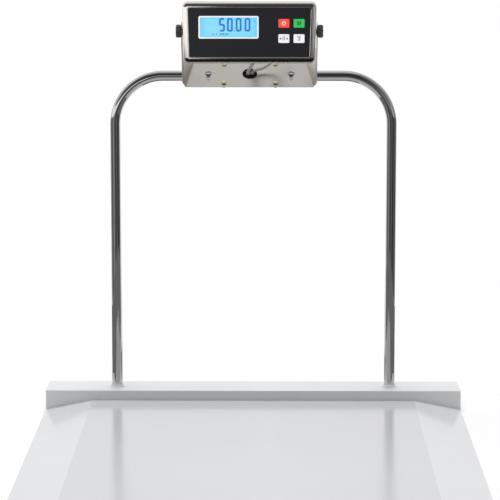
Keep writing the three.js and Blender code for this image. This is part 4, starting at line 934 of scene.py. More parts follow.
@dataclass(frozen=True)
class Outline:
    """A rounded rectangle on a face that looks along -Y.

    Attributes:
        width: its width, at the top where it tapers.
        height: its height.
        corner: its corners' radius.
        taper: how much narrower its foot is than its top.
        x: its middle's place across.
        z: its middle's place upwards.
    """

    width: float
    height: float
    corner: float
    taper: float = 0.0
    x: float = 0.0
    z: float = 0.0

    def grown(self, by: float) -> "Outline":
        """The same outline, larger all round."""
        return replace(
            self, width=self.width + 2 * by, height=self.height + 2 * by, corner=self.corner + by
        )

    def plate(self, front: float, back: float, steps: int = 6) -> Shape:
        """A plate of this outline.

        Args:
            front: its front's place along Y.
            back: its back's place along Y.
            steps: how many faces each corner has.

        Returns:
            The plate.
        """
        shape = Shape()
        bm = shape.bm
        bmesh.ops.create_grid(bm, x_segments=1, y_segments=1, size=0.5)
        bmesh.ops.scale(bm, vec=(self.width, self.height, 1), verts=bm.verts)
        foot = [vert for vert in bm.verts if vert.co.y < 0]
        bmesh.ops.scale(bm, vec=(1 - self.taper / self.width, 1, 1), verts=foot)
        bmesh.ops.bevel(
            bm, geom=bm.verts[:], offset=self.corner, segments=steps, profile=0.5,
            affect="VERTICES", clamp_overlap=True, material=-1,
        )
        bmesh.ops.rotate(bm, matrix=Matrix.Rotation(math.pi / 2, 3, "X"), verts=bm.verts)
        bmesh.ops.translate(bm, vec=(self.x, front, self.z), verts=bm.verts)
        pushed = bmesh.ops.extrude_face_region(bm, geom=bm.faces[:])["geom"]
        moved = [item for item in pushed if isinstance(item, bmesh.types.BMVert)]
        bmesh.ops.translate(bm, vec=(0, back - front, 0), verts=moved)
        return shape.tidy()


def arc(
    middle: tuple[float, float], radii: tuple[float, float], degrees: Iterable[float]
) -> list[tuple[float, float]]:
    """Points on an ellipse.

    Args:
        middle: its middle, as radius and height.
        radii: its half width and half height.
        degrees: each point's angle, counted from outwards to upwards.

    Returns:
        The points.
    """
    return [
        (
            middle[0] + radii[0] * math.cos(math.radians(angle)),
            middle[1] + radii[1] * math.sin(math.radians(angle)),
        )
        for angle in degrees
    ]


def at_depth(y: float) -> Callable[[bmesh.types.BMEdge], bool]:
    """Picks the edges that lie at one place along Y."""
    return lambda edge: all(abs(vert.co.y - y) < TINY for vert in edge.verts)


# The sub-assemblies


@dataclass
class Deck:
    """The deck: one folded sheet with a flat middle and a ramp at each side.

    Attributes:
        fold: how far the round of its folds reaches.
        edge: the round of its other edges.
    """

    fold: float = 0.004
    edge: float = 0.0006

    def build(self) -> list[bpy.types.Object]:
        """Makes the sheet."""
        sheet = Shape.node("deck_plate")
        sheet.bevel(self.fold, 3, self.is_fold)
        sheet.bevel(self.edge, 2)
        return [sheet.piece("deck_sheet", DECK_PAINT, Body.PLATFORM, "deck_plate", sharp=25)]

    @staticmethod
    def is_fold(edge: bmesh.types.BMEdge) -> bool:
        """Whether the edge is one of the long creases between the flat and a ramp."""
        angle = edge.calc_face_angle(0.0)
        return edge.calc_length() > 0.5 and math.radians(5) < angle < math.radians(25)


@dataclass
class Beam:
    """The beam behind the deck, and the collars where the posts enter it.

    Attributes:
        edge: the round of its folded edges.
        bore: the collars' inner radius.
        radius: their outer radius.
        foot: where they start above the floor.
        top: where they end.
    """

    edge: float = 0.0022
    bore: float = 0.0163
    radius: float = 0.0225
    foot: float = 0.0653
    top: float = 0.0743

    def build(self) -> list[bpy.types.Object]:
        """Makes the beam's cover and the two collars."""
        cover = Shape.node("beam_housing").bevel(self.edge, 4)
        made = [cover.piece("beam_cover", BEAM_PAINT, Body.PLATFORM, "beam_housing", sharp=40)]
        for side, name in ((-1, "left"), (1, "right")):
            ring = self.collar().shift(side * POST_X, RAIL_Y)
            node = f"post_collar_{name}"
            made.append(ring.piece(f"ring_collar_{name}", BEAM_PAINT, Body.PLATFORM, node))
        return made

    def collar(self) -> Shape:
        """A ring that flares from its mouth down to a thin rim."""
        rim, inner = self.foot + 0.0012, self.bore + 0.0008
        size = (self.radius - inner, self.top - rim)
        slope = arc((self.radius, self.top), size, range(270, 179, -15))
        profile = [(self.bore, self.foot), (self.radius, self.foot), *slope]
        profile += [(self.bore, self.top - 0.0008), (self.bore, self.foot)]
        return Shape.turned(profile, 64)


@dataclass
class Handrail:
    """The handrail: one chrome tube, bent twice.

    Attributes:
        radius: the tube's radius.
        wall: its wall.
        foot: where the posts start above the floor.
        bend: the radius of its bends.
        entry_height: where the cable enters the left post.
        sides: how many sides the tube has.
        bend_steps: how many steps each bend has.
    """

    radius: float = 0.016
    wall: float = 0.002
    foot: float = 0.0106
    bend: float = 0.15
    entry_height: float = 0.035
    sides: int = 64
    bend_steps: int = 32

    def build(self) -> list[bpy.types.Object]:
        """Makes the tube and cuts its two cable holes."""
        tube = self.tube().thicken(self.wall)
        out = BRACKET.world((0, 0, self.radius + 0.002))
        entry = Vector((-POST_X, RAIL_Y, self.entry_height))
        tube.carve(
            Shape.rod(0.008, BRACKET.origin, out),
            Shape.rod(0.006, entry, entry + Vector((self.radius + 0.002, 0, 0))),
        )
        return [tube.piece("bent_rail", RAIL_CHROME, Body.PLATFORM, "handrail", weighted=False)]

    def tube(self) -> Shape:
        """The tube's outer skin, from one foot round to the other."""
        shape = Shape()
        bm = shape.bm
        start = Matrix.Translation((-POST_X, RAIL_Y, self.foot))
        bmesh.ops.create_circle(bm, segments=self.sides, radius=self.radius, matrix=start)
        ring = bm.edges[:]
        rise = RAIL_Z - self.bend - self.foot
        inner = POST_X - self.bend
        ring = self.push(bm, ring, (0, 0, rise))
        ring = self.swing(bm, ring, -inner)
        ring = self.push(bm, ring, (2 * inner, 0, 0))
        ring = self.swing(bm, ring, inner)
        self.push(bm, ring, (0, 0, -rise))
        return shape.tidy()

    @staticmethod
    def push(
        bm: bmesh.types.BMesh, ring: list[bmesh.types.BMEdge], by: Point
    ) -> list[bmesh.types.BMEdge]:
        """Extrudes a ring along a straight line.

        Args:
            bm: the mesh.
            ring: the ring's edges.
            by: how far it goes.

        Returns:
            The new ring's edges.
        """
        new = bmesh.ops.extrude_edge_only(bm, edges=ring)["geom"]
        verts = [item for item in new if isinstance(item, bmesh.types.BMVert)]
        bmesh.ops.translate(bm, vec=by, verts=verts)
        ends = set(verts)
        edges = [item for item in new if isinstance(item, bmesh.types.BMEdge)]
        return [edge for edge in edges if all(vert in ends for vert in edge.verts)]

    def swing(
        self, bm: bmesh.types.BMesh, ring: list[bmesh.types.BMEdge], x: float
    ) -> list[bmesh.types.BMEdge]:
        """Carries a ring round a quarter bend.

        Args:
            bm: the mesh.
            ring: the ring's edges.
            x: where the bend's centre is across the scale.

        Returns:
            The last ring's edges.
        """
        centre = (x, RAIL_Y, RAIL_Z - self.bend)
        verts = list({vert for edge in ring for vert in edge.verts})
        turn = {"angle": math.pi / 2, "steps": self.bend_steps}
        last = bmesh.ops.spin(bm, geom=verts + ring, cent=centre, axis=(0, 1, 0), **turn)["geom_last"]
        return [item for item in last if isinstance(item, bmesh.types.BMEdge)]


@dataclass
class Bracket:
    """The U bracket on the rail, with its clamps, screws and grommet.

    Attributes:
        fold: how far the round of its folds reaches.
        edge: the round of its sheared edges.
        drop: how far its middle is below the rail's, along its slope.
        face: its face's height above the rail's axis.
        screw_x: how far the screws are from its middle.
        screw_y: how far they are from its middle along the slope.
        head_radius: the radius of a screw's head.
        head_height: the height of its head.
        shank_radius: the radius of its shank.
        shank_end: how high above the rail's axis the shank ends.
        slot_width: how wide its slot is.
        slot_depth: how deep its slot is.
    """

    fold: float = 0.0022
    edge: float = 0.0003
    drop: float = 0.012
    face: float = 0.0183
    screw_x: float = 0.0795
    screw_y: float = 0.0445
    head_radius: float = 0.0075
    head_height: float = 0.0046
    shank_radius: float = 0.004
    shank_end: float = 0.006
    slot_width: float = 0.0016
    slot_depth: float = 0.0018

    def build(self) -> list[bpy.types.Object]:
        """Makes the bracket and everything that is fixed to it."""
        sheet = Shape.node("indicator_bracket")
        sheet.bevel(self.fold, 4, self.is_fold)
        sheet.bevel(self.edge, 2)
        name = "indicator_bracket"
        made = [sheet.piece("bracket_sheet", BRACKET_STEEL, Body.PLATFORM, name)]
        made.append(self.grommet())
        for side in ("left", "right"):
            node = f"saddle_clamp_{side}"
            strap = Shape.node(node).bevel(self.edge, 2)
            made.append(strap.piece(f"clamp_strap_{side}", BRACKET_STEEL, Body.PLATFORM, node, sharp=35))
        for row, y in (("upper", self.screw_y), ("lower", -self.screw_y)):
            for side, x in (("left", -self.screw_x), ("right", self.screw_x)):
                screw = self.screw().shift(x, y - self.drop).move(BRACKET.matrix)
                name, node = f"slotted_screw_{row}_{side}", f"clamp_screw_{row}_{side}"
                made.append(screw.piece(name, SCREW_ZINC, Body.PLATFORM, node))
        return made

    @staticmethod
    def is_fold(edge: bmesh.types.BMEdge) -> bool:
        """Whether the edge is a fold of the sheet and not a sheared one."""
        angle = edge.calc_face_angle(0.0)
        return edge.calc_length() > 0.05 and math.radians(20) < angle < math.radians(75)

    def grommet(self) -> bpy.types.Object:
        """The rubber ring and web in the cable hole."""
        lip, neck, bore = 0.0227, 0.0202, 0.0172
        foot, under, top, web = 0.0166, self.face + GAP, 0.0202, 0.001
        curl = 0.0007
        shape = Shape.turned(
            [
                (0.0, foot), (neck, foot), (neck, under), (lip - curl, under), (lip, under + curl),
                (lip - curl / 3, top - curl / 3), (lip - curl, top), (bore + curl, top),
                (bore, top - curl), (bore - curl, foot + web + curl), (bore - 2 * curl, foot + web),
                (0.0, foot + web),
            ]
        )
        shape.shift(y=-self.drop).move(BRACKET.matrix)
        return shape.piece("hole_grommet", SHADED_GROMMET_RUBBER, Body.PLATFORM, "cable_grommet")

    def screw(self) -> Shape:
        """A slotted screw with a domed head."""
        foot = self.face + GAP
        top = foot + self.head_height
        size = (self.head_radius, 0.6 * self.head_height)
        dome = arc((0.0, foot + 0.4 * self.head_height), size, range(0, 90, 10))
        tip = [(0.0, self.shank_end), (self.shank_radius - 0.0008, self.shank_end)]
        tip += [(self.shank_radius, self.shank_end + 0.0008), (self.shank_radius, foot)]
        body = Shape.turned([*tip, (self.head_radius, foot), *dome, (0.0, top)], 40)
        slot = Shape.block((0.03, self.slot_width, 2 * self.slot_depth), (0, 0, top))
        return body.carve(slot)


@dataclass
class Lead:
    """A free lead from the grommet up to its gland.

    Attributes:
        name: which lead it is.
        radius: its radius.
        route: the points that it passes, in the bracket's frame.
        boot: how long the sleeve at each end is.
    """

    name: str
    radius: float
    route: Sequence[Point]
    boot: float = 0.008

    def path(self) -> list[Vector]:
        """The smooth line through the route's points, in the scale's frame."""
        knots = [BRACKET.world(point) for point in self.route]
        knots = [2 * knots[0] - knots[1], *knots, 2 * knots[-1] - knots[-2]]
        line = [knots[1]]
        for before, start, end, after in zip(knots, knots[1:], knots[2:], knots[3:]):
            gaps = [math.sqrt((b - a).length) for a, b in ((before, start), (start, end), (end, after))]
            leave = self.tangent(before, start, end, gaps[0], gaps[1]) * gaps[1]
            arrive = self.tangent(start, end, after, gaps[1], gaps[2]) * gaps[1]
            line += interpolate_bezier(start, start + leave / 3, end - arrive / 3, end, 7)[1:]
        return line

    @staticmethod
    def tangent(before: Vector, at: Vector, after: Vector, first: float, second: float) -> Vector:
        """The line's speed at a knot.

        Args:
            before: the knot before.
            at: the knot.
            after: the knot after.
            first: the gap before the knot.
            second: the gap after it.

        Returns:
            The speed.
        """
        return (at - before) / first - (after - before) / (first + second) + (after - at) / second

    def build(self) -> list[bpy.types.Object]:
        """Makes the lead and its two sleeves."""
        line = self.path()
        length = sum((b - a).length for a, b in zip(line, line[1:]))
        foot = self.sleeve(line, "foot", Body.PLATFORM)
        head = self.sleeve(line[::-1], "head", Body.INDICATOR)
        cable = self.tube(line, [self.radius] * len(line))
        name, node = f"{self.name}_cable", f"{self.name}_lead"
        made = cable.piece(name, JACKET_GREY, Body.PLATFORM, node, weighted=False)
        made.parent = None
        near, far = self.after(line, self.boot), self.after(line[::-1], self.boot)
        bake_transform(made)
        facts = {"length": length, "diameter": 2 * self.radius, "path": [tuple(point) for point in line]}
        return [made, foot, head]

    @staticmethod
    def after(line: Sequence[Vector], length: float) -> int:
        """The number of the first point that lies a length along the line."""
        walked = 0.0
        for index, (a, b) in enumerate(zip(line, line[1:])):
            walked += (b - a).length
            if walked >= length:
                return index + 1
        return len(line) - 1

    def sleeve(self, line: Sequence[Vector], end: str, body: Body) -> bpy.types.Object:
        """The tapered strain relief at one end.

        Args:
            line: the lead's line, from that end.
            end: which end it is.
            body: the body that it is fixed to.

        Returns:
            The sleeve.
        """
        count = self.after(line, self.boot)
        radii = []
        for index in range(count + 1):
            share = index / count
            rib = 0.00025 if index % 4 < 2 and 0.1 < share < 0.95 else 0.0
            radii.append(self.radius + 0.0012 - 0.0008 * share + rib)
        shape = self.tube(line[: count + 1], radii)
        return shape.piece(f"{self.name}_sleeve_{end}", JACKET_GREY, body, weighted=False)

    @staticmethod
    def tube(line: Sequence[Vector], radii: Sequence[float]) -> Shape:
        """A round tube along a line.

        Args:
            line: its middle's points.
            radii: its radius at each point.

        Returns:
            The tube.
        """
        curve = bpy.data.curves.new("tube", "CURVE")
        curve.dimensions = "3D"
        curve.bevel_depth = 1.0
        curve.bevel_resolution = 6
        curve.use_fill_caps = True
        spline = curve.splines.new("POLY")
        spline.points.add(len(line) - 1)
        for point, place, radius in zip(spline.points, line, radii):
            point.co = (*place, 1.0)
            point.radius = radius
        shape = Shape()
        shape._take(_apply(bpy.data.objects.new("tube", curve)))
        return shape.tidy()


SIGNAL_LEAD = Lead(
    "signal", 0.0055,
    (
        (-0.005, -0.012, 0.018), (-0.005, -0.012, 0.023), (-0.002, -0.0093, 0.031),
        (0.003, -0.0026, 0.0386), (0.009, 0.0063, 0.0465), (0.0145, 0.0169, 0.0544),
        (0.018, 0.0269, 0.0632), (0.02, 0.0344, 0.0731), (0.0205, 0.0373, 0.0833), (0.02, 0.0354, 0.0922),
        (0.019, 0.0301, 0.0988), (0.018, 0.0235, 0.1039), (0.018, 0.0171, 0.1088), (0.018, 0.014, 0.1112),
        (0.018, 0.0108, 0.1135),
    ),
)
POWER_LEAD = Lead(
    "power", 0.004,
    (
        (0.008, -0.012, 0.018), (0.0082, -0.012, 0.0225), (0.0108, -0.0115, 0.0266),
        (0.016, -0.0102, 0.0294), (0.024, -0.0081, 0.0308), (0.033, -0.0053, 0.0317),
        (0.042, -0.0021, 0.0333), (0.051, 0.0018, 0.0364), (0.06, 0.0066, 0.041),
        (0.0686, 0.0121, 0.0471), (0.0764, 0.018, 0.0549), (0.0826, 0.0235, 0.0639),
        (0.087, 0.028, 0.0734), (0.0894, 0.0307, 0.0827),
        (0.09, 0.0304, 0.0914), (0.09, 0.0279, 0.0985), (0.09, 0.0235, 0.1039), (0.09, 0.0171, 0.1088),
        (0.09, 0.0108, 0.1135),
    ),
)


@dataclass(frozen=True)
class Key:
    """One key of the panel.

    Attributes:
        name: its CAD node and body.
        x: its middle's place across.
        z: its middle's place upwards.
        finish: its film.
    """

    name: str
    x: float
    z: float
    finish: Finish

    @property
    def outline(self) -> Outline:
        """The key's outline."""
        return Outline(0.033, 0.026, 0.003, x=self.x, z=self.z)


KEYS = (
    Key("key_power", 0.1045, 0.0283, KEY_RED),
    Key("key_hold", 0.1505, 0.0283, KEY_GREEN),
    Key("key_zero", 0.1045, -0.0177, KEY_WHITE),
    Key("key_unit", 0.1505, -0.0177, KEY_WHITE),
)


@dataclass
class Housing:
    """The indicator's polished housing in two parts, with its knobs and glands.

    Attributes:
        outline: its outline.
        panel: the panel's outline.
        window: the window's outline.
        front: its face's place along Y.
        back: its back's place.
        split: where the front part ends.
        wall: its wall.
        face_wall: the wall behind its face.
        rim: the round of its rims.
        lip: the chamfer round the recess of the panel.
        bead: how far the border of that recess stands out.
        recess: the floor of that recess, along Y.
        pocket: the floor of the keys' pockets.
        boss_radius: the radius of the bosses at the pivot.
        boss_start: how far from the middle they start.
        boss_end: how far from the middle they end.
        gland_z: the glands' place upwards.
        pivot_z: the pivot's place upwards.
        gland_x: the two glands' places across.
    """

    outline: Outline = Outline(0.409, 0.187, 0.018, 0.009)
    panel: Outline = Outline(0.372, 0.148, 0.005, 0.009)
    window: Outline = Outline(0.182, 0.068, 0.005, x=-0.063, z=0.0162)
    front: float = -0.0475
    back: float = 0.0475
    split: float = 0.0315
    wall: float = 0.0015
    face_wall: float = 0.0045
    rim: float = 0.014
    lip: float = 0.0014
    bead: float = 0.0008
    recess: float = -0.0459
    pocket: float = -0.0447
    boss_radius: float = 0.012
    boss_start: float = 0.1889
    boss_end: float = 0.2049
    gland_z: float = -0.0435
    pivot_z: float = 0.0025
    gland_x: tuple[float, float] = (0.018, 0.09)

    def build(self) -> list[bpy.types.Object]:
        """Makes the two parts and what is fixed to them."""
        made = [self.front_part(), self.rear_part()]
        made += [self.cover_screw(x, z) for x in (-1, 1) for z in (-1, 1)]
        for side, name in ((-1, Body.KNOB_LEFT), (1, Body.KNOB_RIGHT)):
            made.append(self.knob(side, name))
        for name, x in zip(("signal", "power"), self.gland_x):
            made.append(self.gland(name, x))
        return made

    def front_part(self) -> bpy.types.Object:
        """The front, with its recess, window, key pockets and pivot bosses."""
        inside = self.front + self.face_wall
        shell = self.outline.plate(self.front, self.split, 12)
        shell.bevel(self.rim, 10, at_depth(self.front))
        rim = self.rim - self.wall
        hollow = self.outline.grown(-self.wall).plate(inside, self.back, 8)
        hollow.bevel(rim, 6, at_depth(inside))
        shell.carve(hollow)
        bosses = [
            Shape.rod(self.boss_radius, (side * self.boss_start, 0, 0), (side * self.boss_end, 0, 0), 48)
            for side in (-1, 1)
        ]
        proud = self.front - self.bead
        border = self.panel.grown(GAP + self.lip + self.bead).plate(proud, self.front + 0.001, 8)
        border.bevel(0.75 * self.bead, 3, at_depth(proud))
        shell.fuse(border, *(boss.shift(z=self.pivot_z) for boss in bosses))
        before, behind = self.front - 0.001, inside + 0.001
        end = proud + self.lip
        tools = [
            self.panel.grown(GAP).plate(before, self.recess),
            self.panel.grown(GAP + self.lip).plate(before, end).bevel(self.lip, 1, at_depth(end)),
            self.window.grown(-0.0045).plate(before, behind),
            Shape.rod(0.0053, (-0.25, 0, self.pivot_z), (0.25, 0, self.pivot_z)),
        ]
        for key in KEYS:
            tools.append(key.outline.grown(GAP).plate(before, self.pocket))
            tools.append(Shape.rod(0.0028, (key.x, before, key.z), (key.x, behind, key.z), 24))
        shell.carve(*tools).move(INDICATOR.matrix)
        return shell.piece("housing_bezel", HOUSING_STEEL, Body.INDICATOR, "housing_front", sharp=35)

    def rear_part(self) -> bpy.types.Object:
        """The cover behind, with its two gland holes."""
        cover = self.outline.plate(self.split + GAP, self.back, 12)
        cover.bevel(self.rim, 10, at_depth(self.back))
        inside = self.back - self.wall
        hollow = self.outline.grown(-self.wall).plate(self.front, inside, 8)
        hollow.bevel(self.rim - self.wall, 6, at_depth(inside))
        holes = [
            Shape.rod(0.0063, (x, inside - 0.001, self.gland_z), (x, self.back + 0.001, self.gland_z))
            for x in self.gland_x
        ]
        cover.carve(hollow, *holes).move(INDICATOR.matrix)
        return cover.piece("housing_cover", HOUSING_STEEL, Body.INDICATOR, "housing_rear", sharp=35)

    def cover_screw(self, side: int, end: int) -> bpy.types.Object:
        """A screw at one corner of the cover.

        Args:
            side: -1 at the left, 1 at the right.
            end: -1 at the foot, 1 at the top.

        Returns:
            The screw.
        """
        radius, height = 0.004, 0.0018
        dome = arc((0.0, 0.0), (radius, height), range(0, 90, 15))
        head = Shape.turned([(0.0, -0.001), (0.0025, -0.001), (0.0025, 0.0), *dome, (0.0, height)], 24)
        bar = (0.0045, 0.0009, 0.002)
        cross = [Shape.block(bar, (0, 0, height)).turn(turn, "Z") for turn in (0, 90)]
        head.carve(*cross).turn(-90, "X").shift(side * 0.172, self.back, end * 0.064)
        name = f"cover_screw_{'left' if side < 0 else 'right'}_{'foot' if end < 0 else 'top'}"
        return head.move(INDICATOR.matrix).piece(name, COVER_SCREW, Body.INDICATOR)

    def knob(self, side: int, body: Body) -> bpy.types.Object:
        """A fluted knob with its stud.

        Args:
            side: -1 at the left, 1 at the right.
            body: its body.

        Returns:
            The knob.
        """
        radius, length, inner, lobes = 0.02, 0.017, 0.2075, 9
        flute, depth = 0.0055, 0.0024
        crown = 0.005
        round_edge = arc((radius - crown, crown), (crown, crown), range(-90, 1, 15))
        far_edge = [(across, length - along) for across, along in reversed(round_edge)]
        profile = [(0.0, 0.0), *round_edge, *far_edge]
        profile += [(0.0095, length), (0.009, length - 0.0012), (0.0, length - 0.0012)]
        grip = Shape.turned(profile, 72)
        reach = radius + flute - depth
        flutes = []
        for index in range(lobes):
            angle = math.tau * (index + 0.5) / lobes
            x, y = reach * math.cos(angle), reach * math.sin(angle)
            flutes.append(Shape.rod(flute, (x, y, -0.001), (x, y, length + 0.001), 24))
        grip.carve(*flutes)
        bmesh.ops.remove_doubles(grip.bm, verts=grip.bm.verts, dist=0.00002)
        grip.shift(z=inner)
        stud = Shape.rod(0.005, (0, 0, self.boss_start), (0, 0, inner + 0.001)).bevel(0.0005, 2)
        grip.add(stud).turn(side * 90, "Y").shift(z=self.pivot_z).move(INDICATOR.matrix)
        return grip.piece(f"fluted_{body.value}", KNOB_PLASTIC, body, body.value, sharp=32)

    def gland(self, name: str, x: float) -> bpy.types.Object:
        """A cable gland: its body, its hexagon and its ribbed dome nut.

        Args:
            name: the lead that it holds.
            x: its place across the cover.

        Returns:
            The gland.
        """
        seat, shoulder, crown, radius, mouth = 0.0053, 0.0118, 0.0153, 0.009, 0.00675
        hexagon = Shape.rod(0.0115, (0, 0, GAP), (0, 0, seat), 6).bevel(0.0006, 2)
        dome = [(0.0, seat), (radius, seat), (radius, shoulder)]
        dome += arc((mouth, shoulder), (radius - mouth, crown - shoulder), range(15, 91, 15))
        sunk = crown - 0.0005
        nut = Shape.turned([*dome, (0.0046, crown), (0.0044, sunk), (0.0, sunk)], 40)
        grooves = []
        for index in range(10):
            angle = math.tau * index / 10
            spot = (0.0094 * math.cos(angle), 0.0094 * math.sin(angle))
            grooves.append(Shape.rod(0.0009, (*spot, 0.0066), (*spot, 0.02), 12))
        nut.carve(*grooves)
        thread = Shape.rod(0.006, (0, 0, -0.0085), (0, 0, 0.001))
        fitting = nut.add(hexagon, thread).turn(-90, "X").shift(x, self.back, self.gland_z)
        fitting.move(INDICATOR.matrix)
        return fitting.piece(f"cable_gland_{name}", KNOB_PLASTIC, Body.INDICATOR, f"gland_{name}")


@dataclass
class Face:
    """The indicator's panel, window, display and keys.

    Attributes:
        panel: the panel's outline.
        window: the window's outline.
        front: the panel's front along Y.
        back: its back.
        border: the width of the window's printed border.
        glass: the display's front.
        digits_x: each digit's place across.
        digits_z: how far the digits are above the window's middle.
        signs_z: how far the arrows and bars are below it.
        key_front: the keys' front.
        key_back: their back.
        stem_start: where their stems start along Y.
        stem_end: where the stems end.
    """

    panel: Outline = Housing.panel
    window: Outline = Housing.window
    front: float = -0.0474
    back: float = -0.0462
    border: float = 0.0042
    glass: float = -0.0427
    digits_x: tuple[float, ...] = (-0.0830, -0.0589, -0.0326, -0.0056)
    digits_z: float = 0.0073
    signs_z: float = 0.021
    key_front: float = -0.0482
    key_back: float = -0.0456
    stem_start: float = -0.0476
    stem_end: float = -0.0386

    def build(self) -> list[bpy.types.Object]:
        """Makes everything that shows on the face."""
        made = [self.sheet(), self.film(), self.frame_print(), *self.display()]
        for key in KEYS:
            made += self.key(key)
        return made

    def sheet(self) -> bpy.types.Object:
        """The charcoal overlay with its openings."""
        plate = self.panel.plate(self.front, self.back, 8)
        plate.bevel(0.0002, 1, at_depth(self.front))
        tools = [self.window.grown(GAP).plate(self.front - 0.001, self.back + 0.001)]
        tools += [key.outline.grown(GAP).plate(self.front - 0.001, self.back + 0.001) for key in KEYS]
        plate.carve(*tools).move(INDICATOR.matrix)
        return plate.piece("overlay", PANEL_FILM, Body.INDICATOR, "face_panel")

    def film(self) -> bpy.types.Object:
        """The clear window."""
        plate = self.window.plate(self.front, self.back, 8).move(INDICATOR.matrix)
        return plate.piece("clear_window", WINDOW_CLEAR, Body.INDICATOR, "lcd_window")

    def frame_print(self) -> bpy.types.Object:
        """The white border printed on the window."""
        proud = self.front - 0.00008
        ring = self.window.grown(0.0001).plate(proud, self.front, 8)
        hole = self.window.grown(-self.border).plate(proud - 0.001, self.front + 0.001, 8)
        ring.carve(hole).move(INDICATOR.matrix)
        return ring.piece("window_border", WHITE_INK, Body.INDICATOR)

    def display(self) -> list[bpy.types.Object]:
        """The digits and small signs of the display."""
        digits = Shape()
        for character, x in zip("5000", self.digits_x):
            digits.add(Digit(character).shape().shift(x, self.glass, self.window.z + self.digits_z))
        place = (-0.0465, self.glass - 0.00005, self.window.z - 0.0115)
        dot = Shape.block((0.0034, 0.00005, 0.0034), place)
        digits.add(dot).move(INDICATOR.matrix)
        signs = Shape()
        for index, x in enumerate((-0.110, -0.100)):
            arrow = Shape.rod(0.0034, (0, 0, 0), (0, 0.00006, 0), 3).turn(90 * index, "Y")
            signs.add(arrow.shift(x, self.glass - 0.0001, self.window.z - self.signs_z))
        for index in range(6):
            bar = Shape.block((0.0032, 0.00006, 0.0042), (-0.088 + 0.0046 * index, 0, 0))
            signs.add(bar.shift(0, self.glass - 0.00007, self.window.z - self.signs_z))
        unit = Shape.letters("kg", 0.0075, 0.00006)
        unit.shift(0.0165, self.glass - 0.00007, self.window.z + 0.0195)
        signs.add(unit).move(INDICATOR.matrix)
        return [
            digits.piece("display_digits", DISPLAY_SEGMENT, Body.INDICATOR, weighted=False),
            signs.piece("display_signs", DISPLAY_SEGMENT, Body.INDICATOR, weighted=False),
        ]

    def key(self, key: Key) -> list[bpy.types.Object]:
        """A key with its raised pad and its printed sign.

        Args:
            key: the key.

        Returns:
            The key and its sign.
        """
        cap = key.outline.plate(self.key_front, self.key_back, 6)
        cap.bevel(0.0005, 3, at_depth(self.key_front))
        face = max(cap.bm.faces, key=lambda one: one.calc_area() if one.normal.y < -0.9 else 0.0)
        bmesh.ops.inset_region(cap.bm, faces=[face], thickness=0.0017)
        bmesh.ops.inset_region(cap.bm, faces=[face], thickness=0.0006, depth=-0.0003)
        ends = (key.x, self.stem_start, key.z), (key.x, self.stem_end, key.z)
        stem = Shape.rod(0.0025, *ends, 24)
        cap.add(stem).move(INDICATOR.matrix)
        made = cap.piece(f"cap_{key.name}", key.finish, key.name, key.name)
        sign, ink = KEY_SIGNS[key.name]()
        sign.shift(key.x, self.key_front + 0.0003, key.z).move(INDICATOR.matrix)
        return [made, sign.piece(f"sign_{key.name}", ink, key.name, weighted=False)]


SIGN_DEPTH = 0.00012


def power_sign() -> tuple[Shape, Finish]:
    """An open ring with a bar at its top."""
    ring = Shape.rod(0.0062, (0, 0, 0), (0, -SIGN_DEPTH, 0), 48)
    ring.carve(
        Shape.rod(0.0046, (0, 0.001, 0), (0, -0.001, 0), 48),
        Shape.block((0.0042, 0.002, 0.006), (0, 0, 0.0055)),
    )
    return ring.add(Shape.block((0.0016, SIGN_DEPTH, 0.0075), (0, -SIGN_DEPTH / 2, 0.0042))), WHITE_INK


def hold_sign() -> tuple[Shape, Finish]:
    """Two upright bars."""
    bars = Shape()
    for x in (-0.0032, 0.0032):
        bars.add(Shape.block((0.0034, SIGN_DEPTH, 0.0115), (x, -SIGN_DEPTH / 2, 0)))
    return bars, DARK_INK


def zero_sign() -> tuple[Shape, Finish]:
    """A nought between two arrowheads."""
    sign = Shape.letters("0", 0.018, SIGN_DEPTH).shift(0, -SIGN_DEPTH / 2)
    for side in (-1, 1):
        head = Shape.rod(0.0038, (0, 0, 0), (0, -SIGN_DEPTH, 0), 3).turn(-90 * side, "Y")
        sign.add(head.shift(side * 0.0102))
    return sign, DARK_INK


def unit_sign() -> tuple[Shape, Finish]:
    """The two units that the scale weighs in."""
    return Shape.letters("kg\nlb", 0.0115, SIGN_DEPTH).shift(0, -SIGN_DEPTH / 2, 0.0008), DARK_INK


KEY_SIGNS: Mapping[str, Callable[[], tuple[Shape, Finish]]] = {
    "key_power": power_sign,
    "key_hold": hold_sign,
    "key_zero": zero_sign,
    "key_unit": unit_sign,
}


@dataclass(frozen=True)
class Digit:
    """A seven-segment digit.

    Attributes:
        character: what it shows.
        width: how wide it is.
        height: how high it is.
        stroke: how wide a segment is.
    """

    character: str
    width: float = 0.018
    height: float = 0.041
    stroke: float = 0.0058

    def shape(self) -> Shape:
        """The lit segments, centred, just in front of the display."""
        lit = {"0": "abcdef", "5": "acdfg"}[self.character]
        across, up = (self.width - self.stroke) / 2, (self.height - self.stroke) / 4
        places = {
            "a": (0, 2 * up, 0), "g": (0, 0, 0), "d": (0, -2 * up, 0),
            "b": (across, up, 90), "c": (across, -up, 90),
            "f": (-across, up, 90), "e": (-across, -up, 90),
        }
        shape = Shape()
        for name in lit:
            x, z, turn = places[name]
            length = 2 * (up if turn else across) - 0.0005
            bar = Shape.block((length + 0.6 * self.stroke, 0.00005, self.stroke))
            bar.bevel(0.48 * self.stroke, 1, self.is_corner)
            shape.add(bar.turn(turn, "Y").shift(x, -0.00005, z))
        return shape

    @staticmethod
    def is_corner(edge: bmesh.types.BMEdge) -> bool:
        """Whether the edge is one of the bar's four short ones."""
        return edge.calc_length() < 0.0001


